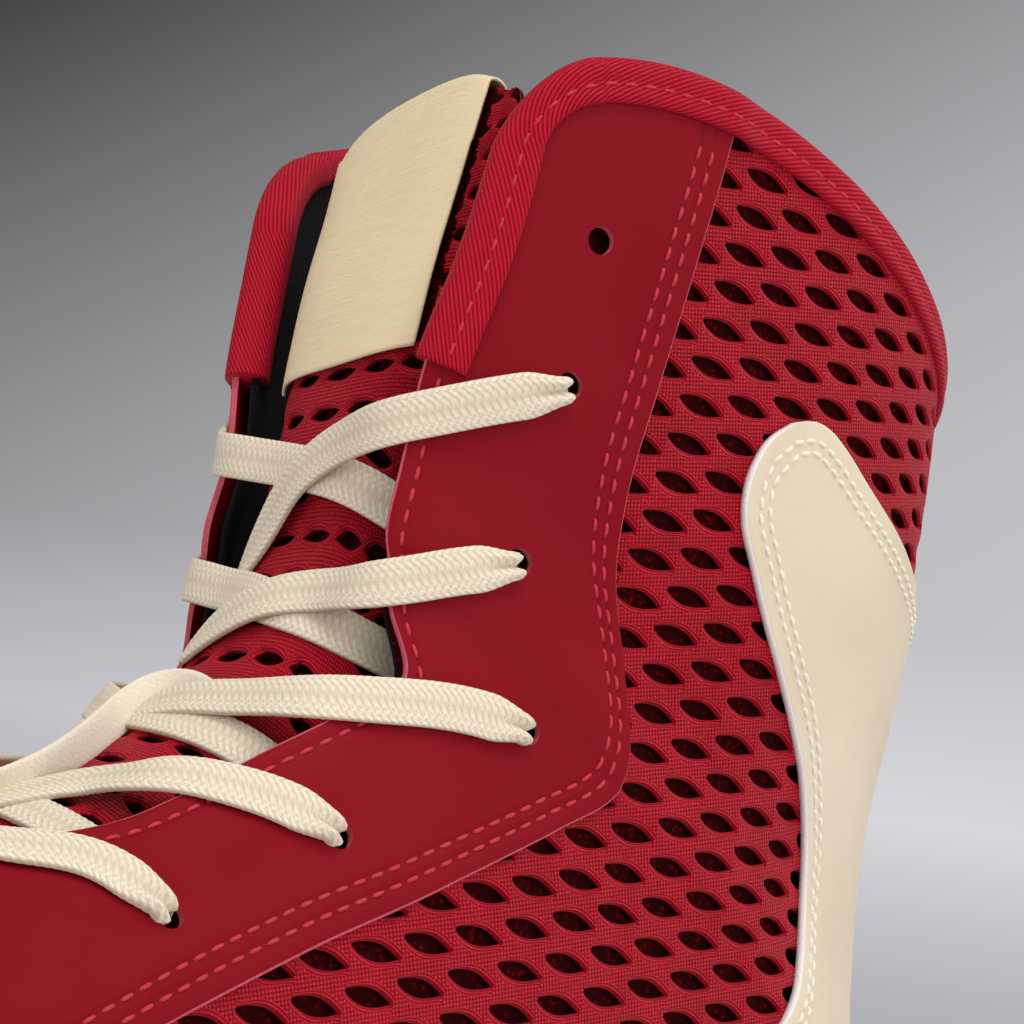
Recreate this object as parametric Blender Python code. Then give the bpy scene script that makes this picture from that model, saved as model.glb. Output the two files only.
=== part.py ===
"""Boxing shoe, left foot, mid height: outsole, insole, hollow upper, overlays, tongue and laces.

The upper is a skin over a table of last sections. A section runs from the ridge over the instep or
the front of the shaft down to the feather edge, or round to the middle of the back for the shaft.
A place on the skin is (u, s): u counts rows of the table, s is the girth in mm from the ridge, above
zero on the outer side of the foot and below zero on the inner side.
"""
import bpy
import bmesh
import numpy as np

# Named sizes, in mm
WALL = 3.0            # mesh sandwich of the upper
GAP = 0.3             # clear space between pieces
OVERLAY = 1.2         # microfibre eyestay and heel counter
BINDING_WIDTH = 9.0   # outer face of the collar tape
BINDING_THICK = 1.0
CORNER_RADIUS = 10.0  # top front corner of the collar
EYELET_RADIUS = 2.1
TONGUE_THICK = 5.0
TONGUE_SIDE = 12.0    # how far the tongue reaches under each eyestay
LABEL_THICK = 0.7
LABEL_HALF = 20.0     # half the label's width
LABEL_SLANT = 0.013   # rows that the label's foot rises for each mm across
LACE_WIDTH = 7.0
LACE_THICK = 1.8
INSOLE_THICK = 4.0
LIP_HEIGHT = 5.0      # sole wall standing up round the upper
LIP_INNER = 2.1       # lip inner face, outside the feather edge
LIP_OUTER = 3.8
SOLE_STEP = 4.8       # foxing step, outside the feather edge
GROOVE_DEPTH = 1.6
GROOVE_WIDTH = 3.0
RIM_ROW = 17.0        # row of the collar rim
RIM_STEP = 12.9       # one row, in mm, on the throat edge at the rim
RIM_SAG = 0.45        # rows that the rim dips at its inner front corner
HEEL_ROW = 12.0       # first row that closes round the back
THROAT_ROW = 5.0      # front end of the throat
BINDING_ROW = 13.9    # lower end of the tape on the throat edge
COUNTER_ROWS = (9.8, 15.55)
LABEL_ROW = 13.84     # foot of the label on the ridge

# One row per section of the last, toe to collar: ridge point, feather or back point, half widths at
# the belly and at the feather edge, belly place along the section, fullness above and below it,
# roundness of the lower part, sideways shift, and the lift of the rim between front and back
LAST_COLUMNS = ("ridge_x", "ridge_z", "end_x", "end_z", "wide_out", "wide_in", "edge_out", "edge_in",
                "belly", "full_top", "full_low", "round_low", "shift", "bow")
LAST_ROWS = (
    (276.0, 21.0, 276.0, 20.0, 0.0, 0.0, 0.0, 0.0, 0.60, 2.0, 2.0, 0.0, -5.0, 0.0),
    (273.5, 30.0, 273.5, 18.5, 13.0, 14.0, 12.0, 13.0, 0.60, 2.0, 2.0, 0.0, -4.0, 0.0),
    (267.0, 36.0, 267.0, 17.0, 24.0, 25.0, 22.5, 23.5, 0.60, 2.0, 2.0, 0.0, -3.5, 0.0),
    (254.0, 41.5, 254.0, 14.0, 34.5, 36.0, 33.0, 35.0, 0.62, 2.1, 2.0, 0.0, -3.0, 0.0),
    (236.0, 46.5, 236.0, 11.0, 42.0, 43.0, 40.5, 42.0, 0.64, 2.1, 2.0, 0.0, -2.0, 0.0),
    (213.0, 53.0, 213.0, 9.0, 46.5, 45.5, 45.0, 44.0, 0.66, 2.1, 2.0, 0.0, -1.0, 0.0),
    (190.0, 61.0, 186.0, 9.0, 45.0, 43.0, 43.0, 41.0, 0.66, 2.1, 2.0, 0.0, 0.0, 0.0),
    (173.0, 69.5, 150.0, 10.5, 42.0, 39.0, 38.0, 34.0, 0.64, 2.2, 2.0, 0.0, 0.0, 0.0),
    (160.0, 79.0, 108.0, 12.5, 39.0, 37.0, 33.5, 30.0, 0.60, 2.4, 2.0, 0.0, 0.0, 0.0),
    (150.0, 90.0, 64.0, 13.0, 37.0, 36.0, 31.5, 30.5, 0.56, 2.6, 2.0, 0.0, 0.0, 0.0),
    (144.5, 101.0, 25.0, 13.0, 35.0, 35.0, 29.5, 29.0, 0.53, 2.8, 2.0, 0.35, 0.0, 0.0),
    (142.5, 109.0, 6.5, 13.4, 34.5, 34.5, 18.5, 18.5, 0.53, 2.9, 2.0, 0.7, 0.0, 0.0),
    (141.5, 115.0, 2.5, 14.0, 34.5, 34.5, 0.0, 0.0, 0.52, 3.0, 1.95, 1.0, 0.0, 0.0),
    (140.0, 125.0, 4.4, 40.0, 33.0, 33.0, 0.0, 0.0, 0.52, 3.1, 1.62, 1.0, 0.0, 2.0),
    (139.0, 136.0, 9.0, 72.0, 35.4, 35.4, 0.0, 0.0, 0.52, 3.2, 1.74, 1.0, 0.0, 5.0),
    (138.0, 148.0, 10.2, 98.0, 37.5, 37.5, 0.0, 0.0, 0.52, 3.2, 2.1, 1.0, 0.0, 10.0),
    (137.0, 157.0, 9.3, 123.0, 39.0, 39.0, 0.0, 0.0, 0.52, 3.2, 2.15, 1.0, 0.0, 16.0),
    (135.5, 167.0, 10.5, 149.0, 40.5, 40.5, 0.0, 0.0, 0.52, 3.2, 2.15, 1.0, 0.0, 22.0),
    (133.5, 181.0, 12.0, 172.0, 41.5, 41.5, 0.0, 0.0, 0.52, 3.2, 2.15, 1.0, 0.0, 24.0),
)

# Girth from the ridge, by row: throat edge, outer edge of the eyestay, front edge of the counter
THROAT_EDGE = (("row", "girth"),
               (5.0, 0.0), (5.06, 8.0), (5.2, 14.5), (5.5, 20.5), (6.0, 26.0), (6.6, 28.5), (7.3, 28.5),
               (8.1, 29.0), (8.9, 32.0), (9.7, 35.5), (10.2, 30.0), (11.2, 26.5), (12.3, 25.0),
               (13.8, 25.2), (15.0, 29.0), (16.0, 31.4), (17.0, 33.6), (18.0, 35.2))
EYESTAY_EDGE = (("row", "girth"),
                (4.6, 76.0), (5.0, 72.0), (5.4, 67.0), (6.0, 61.0), (6.7, 56.5), (7.5, 55.2), (8.5, 59.3),
                (9.1, 63.4), (9.8, 69.5), (10.6, 75.5), (11.5, 78.6), (12.3, 78.0), (12.8, 72.0),
                (13.3, 65.8), (13.9, 63.3), (14.7, 64.1), (15.8, 66.8), (17.0, 71.5), (18.0, 74.0))
COUNTER_EDGE = (("row", "girth"),
                (4.9, 73.5), (5.4, 71.5), (6.0, 68.0), (7.0, 72.0), (8.0, 86.0), (9.0, 113.0),
                (9.8, 137.5), (11.0, 134.0), (12.0, 132.6), (12.8, 132.0), (13.4, 123.0), (13.8, 107.0),
                (14.2, 92.0), (14.6, 87.0), (15.1, 89.5), (15.4, 94.5), (15.55, 100.0), (16.0, 101.0),
                (17.0, 104.0))
EYELETS = (("row", "girth"),
           (15.5, 48.4), (14.3, 47.9), (12.7, 47.2), (10.4, 57.0), (8.1, 44.2), (6.7, 44.1), (5.6, 40.0))

# Crown of the tongue under the outer skin: it has sunk in where no foot fills the shoe
TONGUE_CROWN = (("row", "lift"),
                (4.5, -2.6), (5.6, -2.8), (6.5, -3.6), (8.0, -5.2), (9.5, -7.0), (11.0, -8.0), (13.0, -6.6),
                (14.5, -7.6), (16.0, -9.2), (18.0, -10.2))

# Middle lines of the laces, from the eyelet (girth above zero) over the tongue: on each pair of eyelets
# the first runs from the outer side and the second from the inner side
LACE_ROUTES = (
    (((14.3, 44.9), (13.9, 38.0), (13.5, 29.3), (13.25, 24.5), (12.9, 18.0), (12.48, 5.6), (11.78, -2.9),
      (10.84, -7.7), (10.4, -16.0)),
     ((14.3, 44.9), (13.8, 36.0), (13.2, 28.5), (12.88, 23.5), (12.6, 14.8), (12.45, 4.0), (12.3, -6.4),
      (12.28, -17.0))),
    (((12.7, 44.2), (11.92, 37.0), (11.24, 32.5), (10.66, 28.5), (10.3, 24.0), (10.1, 15.7), (9.7, 3.2),
      (9.42, -6.1), (9.2, -15.0)),
     ((12.7, 44.2), (11.9, 37.0), (11.2, 32.0), (10.6, 27.5), (10.2, 19.1), (9.9, 4.0), (9.72, -7.0),
      (9.76, -17.0), (9.9, -27.0))),
    (((10.4, 54.0), (9.88, 46.6), (9.45, 38.8), (9.1, 33.2), (8.75, 27.0), (8.56, 19.2), (8.34, 10.4),
      (8.0, 1.0), (7.5, -8.0), (7.15, -17.0)),
     ((10.4, 54.0), (9.9, 46.0), (9.5, 39.0), (9.15, 32.5), (8.8, 22.0), (8.4, 8.0), (8.15, -8.0),
      (8.18, -18.0), (8.2, -22.0))),
    (((8.1, 41.2), (7.88, 37.0), (7.66, 32.2), (7.42, 27.5), (7.15, 21.5), (6.95, 14.5), (6.6, 8.5),
      (6.35, 0.0), (6.28, -9.0), (6.3, -18.0)),
     ((8.1, 41.2), (7.85, 35.5), (7.6, 30.0), (7.35, 25.5), (6.95, 12.0), (6.6, 1.0), (6.42, -9.0), (6.48, -19.0))),
    (((6.7, 41.1), (6.5, 36.0), (6.3, 32.0), (6.05, 28.5), (5.85, 22.5), (5.72, 11.0), (5.68, 0.0), (5.7, -12.0)),
     ((6.7, 41.1), (6.45, 35.0), (6.2, 28.5), (5.98, 23.0), (5.78, 11.0), (5.7, 0.0), (5.7, -12.0))),
    (((5.6, 37.0), (5.5, 29.0), (5.4, 21.0), (5.3, 15.5), (5.24, 8.0), (5.22, 0.0), (5.23, -4.0)),
     ((5.6, 37.0), (5.5, 29.0), (5.4, 21.0), (5.3, 15.5), (5.24, 8.0), (5.22, 0.0), (5.23, -4.0))),
)

# Underside of the sole along its length
SOLE_UNDER = (("x", "z"),
              (-6.0, 2.5), (4.0, 0.8), (14.0, 0.0), (82.0, 0.0), (112.0, 2.4), (140.0, 1.6), (164.0, 0.0),
              (216.0, 0.0), (240.0, 2.4), (262.0, 7.5), (282.0, 14.5))
GROOVES = (("x", "half_length"),
           (24.0, 17.0), (37.0, 20.0), (50.0, 20.0), (63.0, 20.0), (172.0, 27.0), (183.0, 30.0),
           (194.0, 31.0), (205.0, 31.0))

COLOURS = {   # base colour (linear), roughness
    "outsole": ((0.74, 0.66, 0.52), 0.55),
    "insole": ((0.03, 0.03, 0.03), 0.9),
    "upper": ((0.42, 0.012, 0.03), 0.8),
    "eyestay": ((0.26, 0.01, 0.018), 0.6),
    "heel_counter": ((0.72, 0.62, 0.46), 0.45),
    "collar_binding": ((0.5, 0.02, 0.045), 0.75),
    "tongue": ((0.42, 0.012, 0.03), 0.8),
    "tongue_label": ((0.72, 0.6, 0.4), 0.6),
    "lace": ((0.78, 0.7, 0.58), 0.8),
}


def curve(table, at):
    """Smooth line through a two-column table, by cubic pieces with averaged slopes."""
    xs, ys = np.array(table[1:]).T
    at = np.clip(np.asarray(at, float), xs[0], xs[-1])
    slope = np.gradient(ys, xs)
    i = np.clip(np.searchsorted(xs, at, side="right") - 1, 0, len(xs) - 2)
    step = xs[i + 1] - xs[i]
    f = (at - xs[i]) / step
    return ((1 + 2 * f) * (1 - f) ** 2 * ys[i] + f * (1 - f) ** 2 * step * slope[i]
            + f * f * (3 - 2 * f) * ys[i + 1] + f * f * (f - 1) * step * slope[i + 1])


def last_row(u):
    """All columns of the last at row u, by cubic pieces through the table."""
    rows = np.array(LAST_ROWS)
    i = np.clip(np.floor(u).astype(int), 0, len(rows) - 2)
    f = (u - i)[:, None]
    here, there = rows[i], rows[i + 1]
    before = np.where(i[:, None] > 0, rows[np.maximum(i - 1, 0)], 2 * here - there)
    after = np.where(i[:, None] < len(rows) - 2, rows[np.minimum(i + 2, len(rows) - 1)], 2 * there - here)
    value = here + 0.5 * f * (there - before + f * (2 * before - 5 * here + 4 * there - after
                                                    + f * (3 * (here - there) + after - before)))
    return dict(zip(LAST_COLUMNS, value.T))


def sections(u, side):
    """Half sections at rows u: points ridge to end, and the girth at each point."""
    row = {name: value[:, None] for name, value in last_row(u).items()}
    outer = (side > 0)[:, None]
    edge = np.maximum(np.where(outer, row["edge_out"], row["edge_in"]), 0.0)
    wide = np.maximum(np.where(outer, row["wide_out"], row["wide_in"]), edge)
    angle = np.linspace(0, np.pi / 2, 90)[None, :]
    cos, sin = np.clip(np.cos(angle), 0, 1), np.sin(angle)
    top_along = row["belly"] * (1 - cos ** (2 / row["full_top"]))
    top_out = wide * sin ** (2 / row["full_top"])
    q = sin ** (2 / row["full_low"])
    low_along = row["belly"] + (1 - row["belly"]) * q
    bend = (1 - row["round_low"]) * (1 - q ** 2) + row["round_low"] * cos ** (2 / row["full_low"])
    low_out = edge + (wide - edge) * bend
    along = np.concatenate([top_along, low_along[:, 1:]], 1)
    out = np.concatenate([top_out, low_out[:, 1:]], 1)
    x = row["ridge_x"] + (row["end_x"] - row["ridge_x"]) * along
    z = row["ridge_z"] + (row["end_z"] - row["ridge_z"]) * along
    z = z + row["bow"] * along ** 0.6 * (1 - along) / 0.347
    y = row["shift"] + side[:, None] * out
    points = np.stack([x, y, z], -1)
    steps = np.linalg.norm(np.diff(points, axis=1), axis=2)
    girth = np.concatenate([np.zeros((len(u), 1)), np.cumsum(steps, 1)], 1)
    return points, girth


def bare(u, s):
    """Points of the skin at (u, s). Past the end of a closed row the girth runs on round the back."""
    u, s = [a.ravel().astype(float) for a in np.broadcast_arrays(u, s)]
    side = np.where(s < 0, -1.0, 1.0)
    far = np.abs(s)
    points, girth = sections(u, side)
    past = far > girth[:, -1]
    wrap = past & (u >= HEEL_ROW)
    if wrap.any():
        far = np.where(wrap, 2 * girth[:, -1] - far, far)
        points[wrap], girth[wrap] = sections(u[wrap], -side[wrap])
    far = np.clip(far, 0, girth[:, -1])
    i = np.clip((girth < far[:, None]).sum(1), 1, girth.shape[1] - 1)
    n = np.arange(len(u))
    step = np.maximum(girth[n, i] - girth[n, i - 1], 1e-9)
    f = ((far - girth[n, i - 1]) / step)[:, None]
    return points[n, i - 1] * (1 - f) + points[n, i] * f


def normals(u, s):
    """Outward unit normals of the skin."""
    u, s = [a.ravel().astype(float) for a in np.broadcast_arrays(u, s)]
    du, ds = 0.06, 1.2
    along = bare(np.minimum(u + du, len(LAST_ROWS) - 1), s) - bare(np.maximum(u - du, 0), s)
    round_ = bare(u, s + ds) - bare(u, s - ds)
    n = np.cross(round_, along)
    size = np.linalg.norm(n, axis=1, keepdims=True)
    n = np.where(size > 1e-6, n / np.maximum(size, 1e-9), np.array([[1.0, 0.0, 0.0]]))
    return np.where((u < 0.02)[:, None], np.array([[1.0, 0.0, 0.0]]), n)


def skin(u, s, lift=0.0):
    """Skin points raised by lift along the normals, in the shape of u and s."""
    u, s, lift = np.broadcast_arrays(np.asarray(u, float), np.asarray(s, float), np.asarray(lift, float))
    p = bare(u, s) + normals(u, s) * lift.ravel()[:, None]
    return p.reshape(u.shape + (3,))


def girth_end(u):
    """Girth of the outer and inner half at rows u."""
    u = np.asarray(u, float)
    return (sections(u, np.ones(len(u)))[1][:, -1], sections(u, -np.ones(len(u)))[1][:, -1])


def feather_z(x):
    """Height of the feather line at length x."""
    rows = [(r[2], r[3]) for r in LAST_ROWS[:int(HEEL_ROW) + 1]]
    xs, zs = np.array(sorted(rows)).T
    return np.interp(x, xs, zs)


def girth_at_lip(u, side):
    """Girth where each row meets the top of the sole lip; the whole girth for rows above it."""
    points, girth = sections(u, np.full(len(u), float(side)))
    above = points[..., 2] - feather_z(points[..., 0]) - LIP_HEIGHT - GAP - 0.2
    last = np.where(above > 0, np.arange(girth.shape[1])[None, :], -1).max(1)
    n = np.arange(len(u))
    after = np.minimum(last + 1, girth.shape[1] - 1)
    a, b = above[n, last], above[n, after]
    f = np.where(a - b > 1e-9, a / np.maximum(a - b, 1e-9), 0.0)
    value = girth[n, last] + np.clip(f, 0, 1) * (girth[n, after] - girth[n, last])
    return np.where(last < 0, 0.0, np.where(last == girth.shape[1] - 1, girth[:, -1], value))


def rim_row(s, side):
    """Row of the collar rim at girth s: the soft collar dips at its inner front corner."""
    dip = RIM_SAG * np.exp(-((np.asarray(s, float) - 32.0) / 26.0) ** 2)
    return RIM_ROW - (dip if side < 0 else 0.0 * dip)


def throat(u, side=1):
    """Throat edge with the rounded top corner of the collar."""
    u = np.asarray(u, float)
    edge = np.where(u <= THROAT_ROW, 0.0, curve(THROAT_EDGE, u))
    below = np.clip((rim_row(30.0, side) - u) * RIM_STEP, 0, CORNER_RADIUS)
    corner = CORNER_RADIUS - np.sqrt(CORNER_RADIUS ** 2 - (CORNER_RADIUS - below) ** 2)
    return edge + np.where(u > RIM_ROW, 0.0, corner)


def upper_columns(u, side):
    """Girths of the grid lines of one side: they follow the edges of every overlay on it."""
    end = girth_end(u)[0 if side > 0 else 1]
    lip = girth_at_lip(u, side)
    start = np.minimum(throat(u, side), lip)
    stay = np.minimum(np.maximum(curve(EYESTAY_EDGE, u), start), lip)
    stay = np.where(u < 4.75, lip, stay)
    front = np.clip(np.where(u < 4.75, lip, curve(COUNTER_EDGE, u)), stay, lip)
    tape = BINDING_WIDTH + 2.5 * GAP
    reach = np.minimum(1.0, (stay - start) / 25.0)
    cols = [start, start + 0.5 * tape * reach, start + tape * reach]
    cols += [cols[2] + (stay - cols[2]) * k / 3 for k in (1, 2, 3)]
    cols += [stay + (front - stay) * k / 3 for k in (1, 2, 3)]
    cols += [front + (lip - front) * share for share in (0.3, 0.56, 0.76, 0.9, 1.0)]
    cols.append(end)
    return np.stack(cols, 1)


def new_object(name, points, faces, collection):
    """Closed mesh object from points in mm; the shoe is centred over the floor."""
    mesh = bpy.data.meshes.new(name)
    mesh.from_pydata(((np.asarray(points) - CENTRE) * 0.001).tolist(), [], faces)
    bm = bmesh.new()
    bm.from_mesh(mesh)
    bmesh.ops.remove_doubles(bm, verts=bm.verts, dist=1e-7)
    bmesh.ops.recalc_face_normals(bm, faces=bm.faces)
    bm.to_mesh(mesh)
    bm.free()
    ob = bpy.data.objects.new(name, mesh)
    collection.objects.link(ob)
    return ob


def paint(ob, kind):
    """Give an object its own Principled material."""
    colour, rough = COLOURS[kind]
    material = bpy.data.materials.new(ob.name)
    material.use_nodes = True
    shader = material.node_tree.nodes["Principled BSDF"]
    shader.inputs["Base Color"].default_value = (*colour, 1.0)
    shader.inputs["Roughness"].default_value = rough
    shader.inputs["Metallic"].default_value = 0.0
    ob.data.materials.append(material)
    return ob


def two_skins(name, kind, patches, collection):
    """Solid between paired grids: each patch is (near, far), two arrays (rows, columns, 3).

    Points of the near grids that fall together are one corner; edges left with one face get a wall.
    """
    near, far, corner_of, quads = [], [], {}, []
    for top, under in patches:
        ids = np.zeros(top.shape[:2], int)
        for place in np.ndindex(*ids.shape):
            key = tuple(np.round(top[place], 4))
            if key not in corner_of:
                corner_of[key] = len(near)
                near.append(top[place])
                far.append(under[place])
            ids[place] = corner_of[key]
        for a, b, c, d in zip(ids[:-1, :-1].ravel(), ids[:-1, 1:].ravel(), ids[1:, 1:].ravel(),
                              ids[1:, :-1].ravel()):
            quads += [(a, b, c), (a, c, d)]
    faces = [t for t in quads if len(set(t)) == 3]
    count = len(near)
    edges = {}
    for t in faces:
        for a, b in zip(t, t[1:] + t[:1]):
            edges.setdefault((min(a, b), max(a, b)), []).append((a, b))
    walls = [uses[0] for uses in edges.values() if len(uses) == 1]
    flipped = [tuple(v + count for v in reversed(t)) for t in faces]
    sides = []
    for a, b in walls:
        sides += [(b, a, a + count), (b, a + count, b + count)]
    all_faces = [tuple(int(v) for v in t) for t in faces + flipped + sides]
    return paint(new_object(name, near + far, all_faces, collection), kind)


def rings(name, kind, loops, collection, closed=False):
    """Solid from a row of closed rings (rings, points, 3), capped at both ends unless it closes."""
    count, size = loops.shape[:2]
    faces = []
    for k in range(count if closed else count - 1):
        for j in range(size):
            a, b = k * size + j, k * size + (j + 1) % size
            m = (k + 1) % count
            c, d = m * size + (j + 1) % size, m * size + j
            faces += [(a, b, c), (a, c, d)]
    if not closed:
        faces += [tuple(range(size - 1, -1, -1)), tuple(range((count - 1) * size, count * size))]
    return paint(new_object(name, loops.reshape(-1, 3), faces, collection), kind)


def feather_outline(u):
    """Feather edge and its outward direction in plan, outer half; the inner half is mirrored by row."""
    def edge(v, name, side):
        row = last_row(np.clip(v, 0, HEEL_ROW))
        return np.stack([row["end_x"], row["shift"] + side * np.maximum(row[name], 0)], -1)
    halves = []
    for name, side in (("edge_out", 1.0), ("edge_in", -1.0)):
        here = edge(u, name, side)
        run = edge(u + 0.02, name, side) - edge(u - 0.02, name, side)
        out = np.stack([run[:, 1], -run[:, 0]], -1) * side
        out = out / np.maximum(np.linalg.norm(out, axis=1, keepdims=True), 1e-9)
        out[u <= 0.0] = (1.0, 0.0)
        out[u >= HEEL_ROW] = (-1.0, 0.0)
        halves.append((here, out))
    return halves


def plan_half(u, half, rows):
    """One half of a slab: rows are (offset from the feather edge, share of the half width, height)."""
    here, out = feather_outline(u)[half]
    shift = last_row(u)["shift"]
    columns = []
    for offset, share, height in rows:
        p = here + out * offset
        p[:, 1] = shift + (p[:, 1] - shift) * share
        columns.append(np.concatenate([p, height(p[:, 0])[:, None]], 1))
    return np.stack(columns, 1)


def under_z(x):
    return np.maximum(curve(SOLE_UNDER, x), 0.0)


def sole_rows():
    """Profile of the sole, rim to middle, for its upper and lower skins."""
    def floor(x):
        return feather_z(x) - GAP

    def rim(x):
        return feather_z(x) + LIP_HEIGHT

    def middle(share):
        return lambda x: under_z(x) + (feather_z(x) - under_z(x)) * share
    top = [(LIP_OUTER + 0.2, 1.0, middle(0.62)), (LIP_OUTER, 1.0, rim), (LIP_INNER, 1.0, rim),
           (LIP_INNER, 1.0, floor), (LIP_INNER, 0.5, floor), (LIP_INNER, 0.0, floor)]
    low = [(SOLE_STEP, 1.0, middle(0.5)), (SOLE_STEP - 0.5, 1.0, lambda x: under_z(x) + 1.4),
           (SOLE_STEP - 1.8, 1.0, under_z), (SOLE_STEP - 1.8, 0.8, under_z),
           (SOLE_STEP - 1.8, 0.4, under_z), (SOLE_STEP - 1.8, 0.0, under_z)]
    return top, low


def full_width(u, rows):
    """Both halves of a slab side by side, outer rim to inner rim."""
    outer = plan_half(u, 0, rows)
    inner = plan_half(u, 1, rows)
    return np.concatenate([outer, inner[:, -2::-1]], 1)


def tongue_columns(u):
    edge = np.maximum(curve(THROAT_EDGE, np.maximum(u, THROAT_ROW)), 12.0)
    face = LABEL_HALF + (0.8 * edge - LABEL_HALF) * np.clip(13.6 - u, 0, 1)   # the label's edge higher up
    half = np.stack([0.0 * edge, 0.34 * face, 0.67 * face, face, edge + 2.0, edge + TONGUE_SIDE], 1)
    return np.concatenate([-half[:, :0:-1], half], 1)


def tongue_lifts(u, s):
    """Outer and inner face of the tongue under the skin: padded, and full between the throat edges."""
    edge = np.maximum(throat(u), 1e-3)
    inside = np.clip(1 - (np.abs(s) / np.maximum(edge - 1.0, 1e-3)) ** 2, 0, 1)
    inside = inside * np.clip((u - 5.6) / 0.8, 0, 1)
    crown = curve(TONGUE_CROWN, u)
    under = -(WALL + np.interp(u, [5.2, 6.4, 12.6, 13.6], [2.9, 1.1, 1.1, BINDING_THICK + 1.5]))
    under = np.minimum(under, crown - np.interp(u, [6.4, 9.0], [0.6, 1.8]))
    outer = under + (crown - under) * inside
    side = np.clip((np.abs(s) - edge + 2) / (TONGUE_SIDE + 2), 0, 1)
    thin = np.interp(u, [16.4, 18.0], [1.0, 0.6])   # towards the top
    return outer, outer - TONGUE_THICK * (1 - 0.55 * side) * thin


def tongue_row(u, s):
    """Row of a place on the tongue: its top is arched, highest a little to the outer side."""
    return u - 0.0016 * np.clip((u - 14.0) / 4.0, 0, 1) * np.minimum((s - 6.0) ** 2, 640.0)


def tongue_faces(u, s):
    u = tongue_row(u, s)
    outer, inner = tongue_lifts(u, s)
    return skin(u, s, outer), skin(u, s, inner)


def binding_loops():
    """Collar tape: a folded profile carried along the throat edges and the rim, corner to corner."""
    top, low = GAP, -WALL - GAP
    t = BINDING_THICK
    profile = (   # inward from the edge, height over the outer skin
        (BINDING_WIDTH, top), (BINDING_WIDTH, top + 0.6 * t), (4.65, top + t), (0.6, top + 1.1 * t),
        (-0.3 - 0.9 * t, top), (-0.3 - 0.9 * t, low), (0.6, low - 1.1 * t), (7.0, low - t), (7.0, low - 0.2),
        (-0.3, low - 0.2), (-0.3, top), (4.65, top))
    loops = []
    for side in (1, -1):
        corner_row = float(rim_row(30.0, side))
        rim_girth = upper_columns(np.array([corner_row]), side)[0]
        path_side = []
        for inward, height in profile:
            d = max(inward, 0.0)
            fold = CORNER_RADIUS * max(0.0, 1.0 - d / BINDING_WIDTH)
            # throat edge from the lower end, then round the corner
            reach = float(rim_reach(np.array([28.5 + d]))[0])
            arc = np.linspace(0.0, np.pi / 2, 6)[1:]
            u_run = np.linspace(BINDING_ROW + 0.06, corner_row - (d + fold) * reach, 7)
            u_low = np.concatenate([u_run, corner_row - reach * (d + fold - fold * np.sin(arc))])
            across = np.concatenate([np.full(7, d), d + fold - fold * np.cos(arc)])
            s_low = curve(THROAT_EDGE, u_low) + across
            # rim, corner to the middle of the back
            s_rim = np.maximum(rim_girth[1:], s_low[-1])
            u_rim = rim_row(s_rim, side) - d * rim_reach(s_rim)
            pts_u = np.concatenate([u_low, u_rim])
            pts_s = np.concatenate([s_low, s_rim])
            p = skin(pts_u, side * pts_s, height)
            if inward < 0:
                out = np.concatenate([np.tile([0.0, 1.0], (7, 1)),
                                      np.stack([np.sin(arc), np.cos(arc)], 1),
                                      np.tile([1.0, 0.0], (len(s_rim), 1))])
                up = skin(pts_u + 0.05, side * pts_s) - skin(pts_u - 0.05, side * pts_s)
                fore = skin(pts_u, side * (pts_s - 0.6)) - skin(pts_u, side * (pts_s + 0.6))
                up = up / np.linalg.norm(up, axis=1, keepdims=True)
                fore = fore / np.linalg.norm(fore, axis=1, keepdims=True)
                p = p + (out[:, :1] * up + out[:, 1:] * fore) * -inward
            path_side.append(p)
        loops.append(np.stack(path_side, 1))
    outer, inner = loops
    return np.concatenate([outer, inner[-2::-1]], 0)


def rim_reach(s):
    """Rows per mm downward at the rim, at girth s."""
    a = bare(np.full(len(s), RIM_ROW - 0.5), s)
    b = bare(np.full(len(s), RIM_ROW), s)
    return 0.5 / np.linalg.norm(b - a, axis=1)


def upper_grid(side):
    """Rows and girths of the upper's grid. The rows near the collar keep step with the rim."""
    toe = (0.0, 0.3, 0.6, 1.0, 1.5, 2.1, 2.8, 3.6, 4.3, 4.75, 5.0, 5.1, 5.3, 5.7)
    foot = (6.2, 6.8, 7.4, 8.0, 8.6, 9.2, 9.8, 10.4, 11.0, 11.5, 12.0)
    shaft = (12.5, 13.0, 13.45, 13.9, 14.3, 14.7, 15.1, 15.55)
    flat = np.array(toe + foot + shaft)
    rim_girth = upper_columns(np.array([RIM_ROW - 0.6]), side)[0]
    reach = rim_reach(rim_girth)
    rim = rim_row(rim_girth, side)
    tape = BINDING_WIDTH + 2.5 * GAP
    tape_row = rim - (tape + (2.1 if side < 0 else 0.3)) * reach
    collar = [flat[-1] + (tape_row - flat[-1]) * k / 2 for k in (1, 2)]
    collar += [rim - reach * depth for depth in (0.5 * tape, 2.0, 0.7, 0.0)]
    u = np.concatenate([np.repeat(flat[:, None], len(reach), 1), np.stack(collar)], 0)
    s = np.stack([upper_columns(u[:, j], side)[:, j] for j in range(len(reach))], 1)
    return u, side * s


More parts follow.
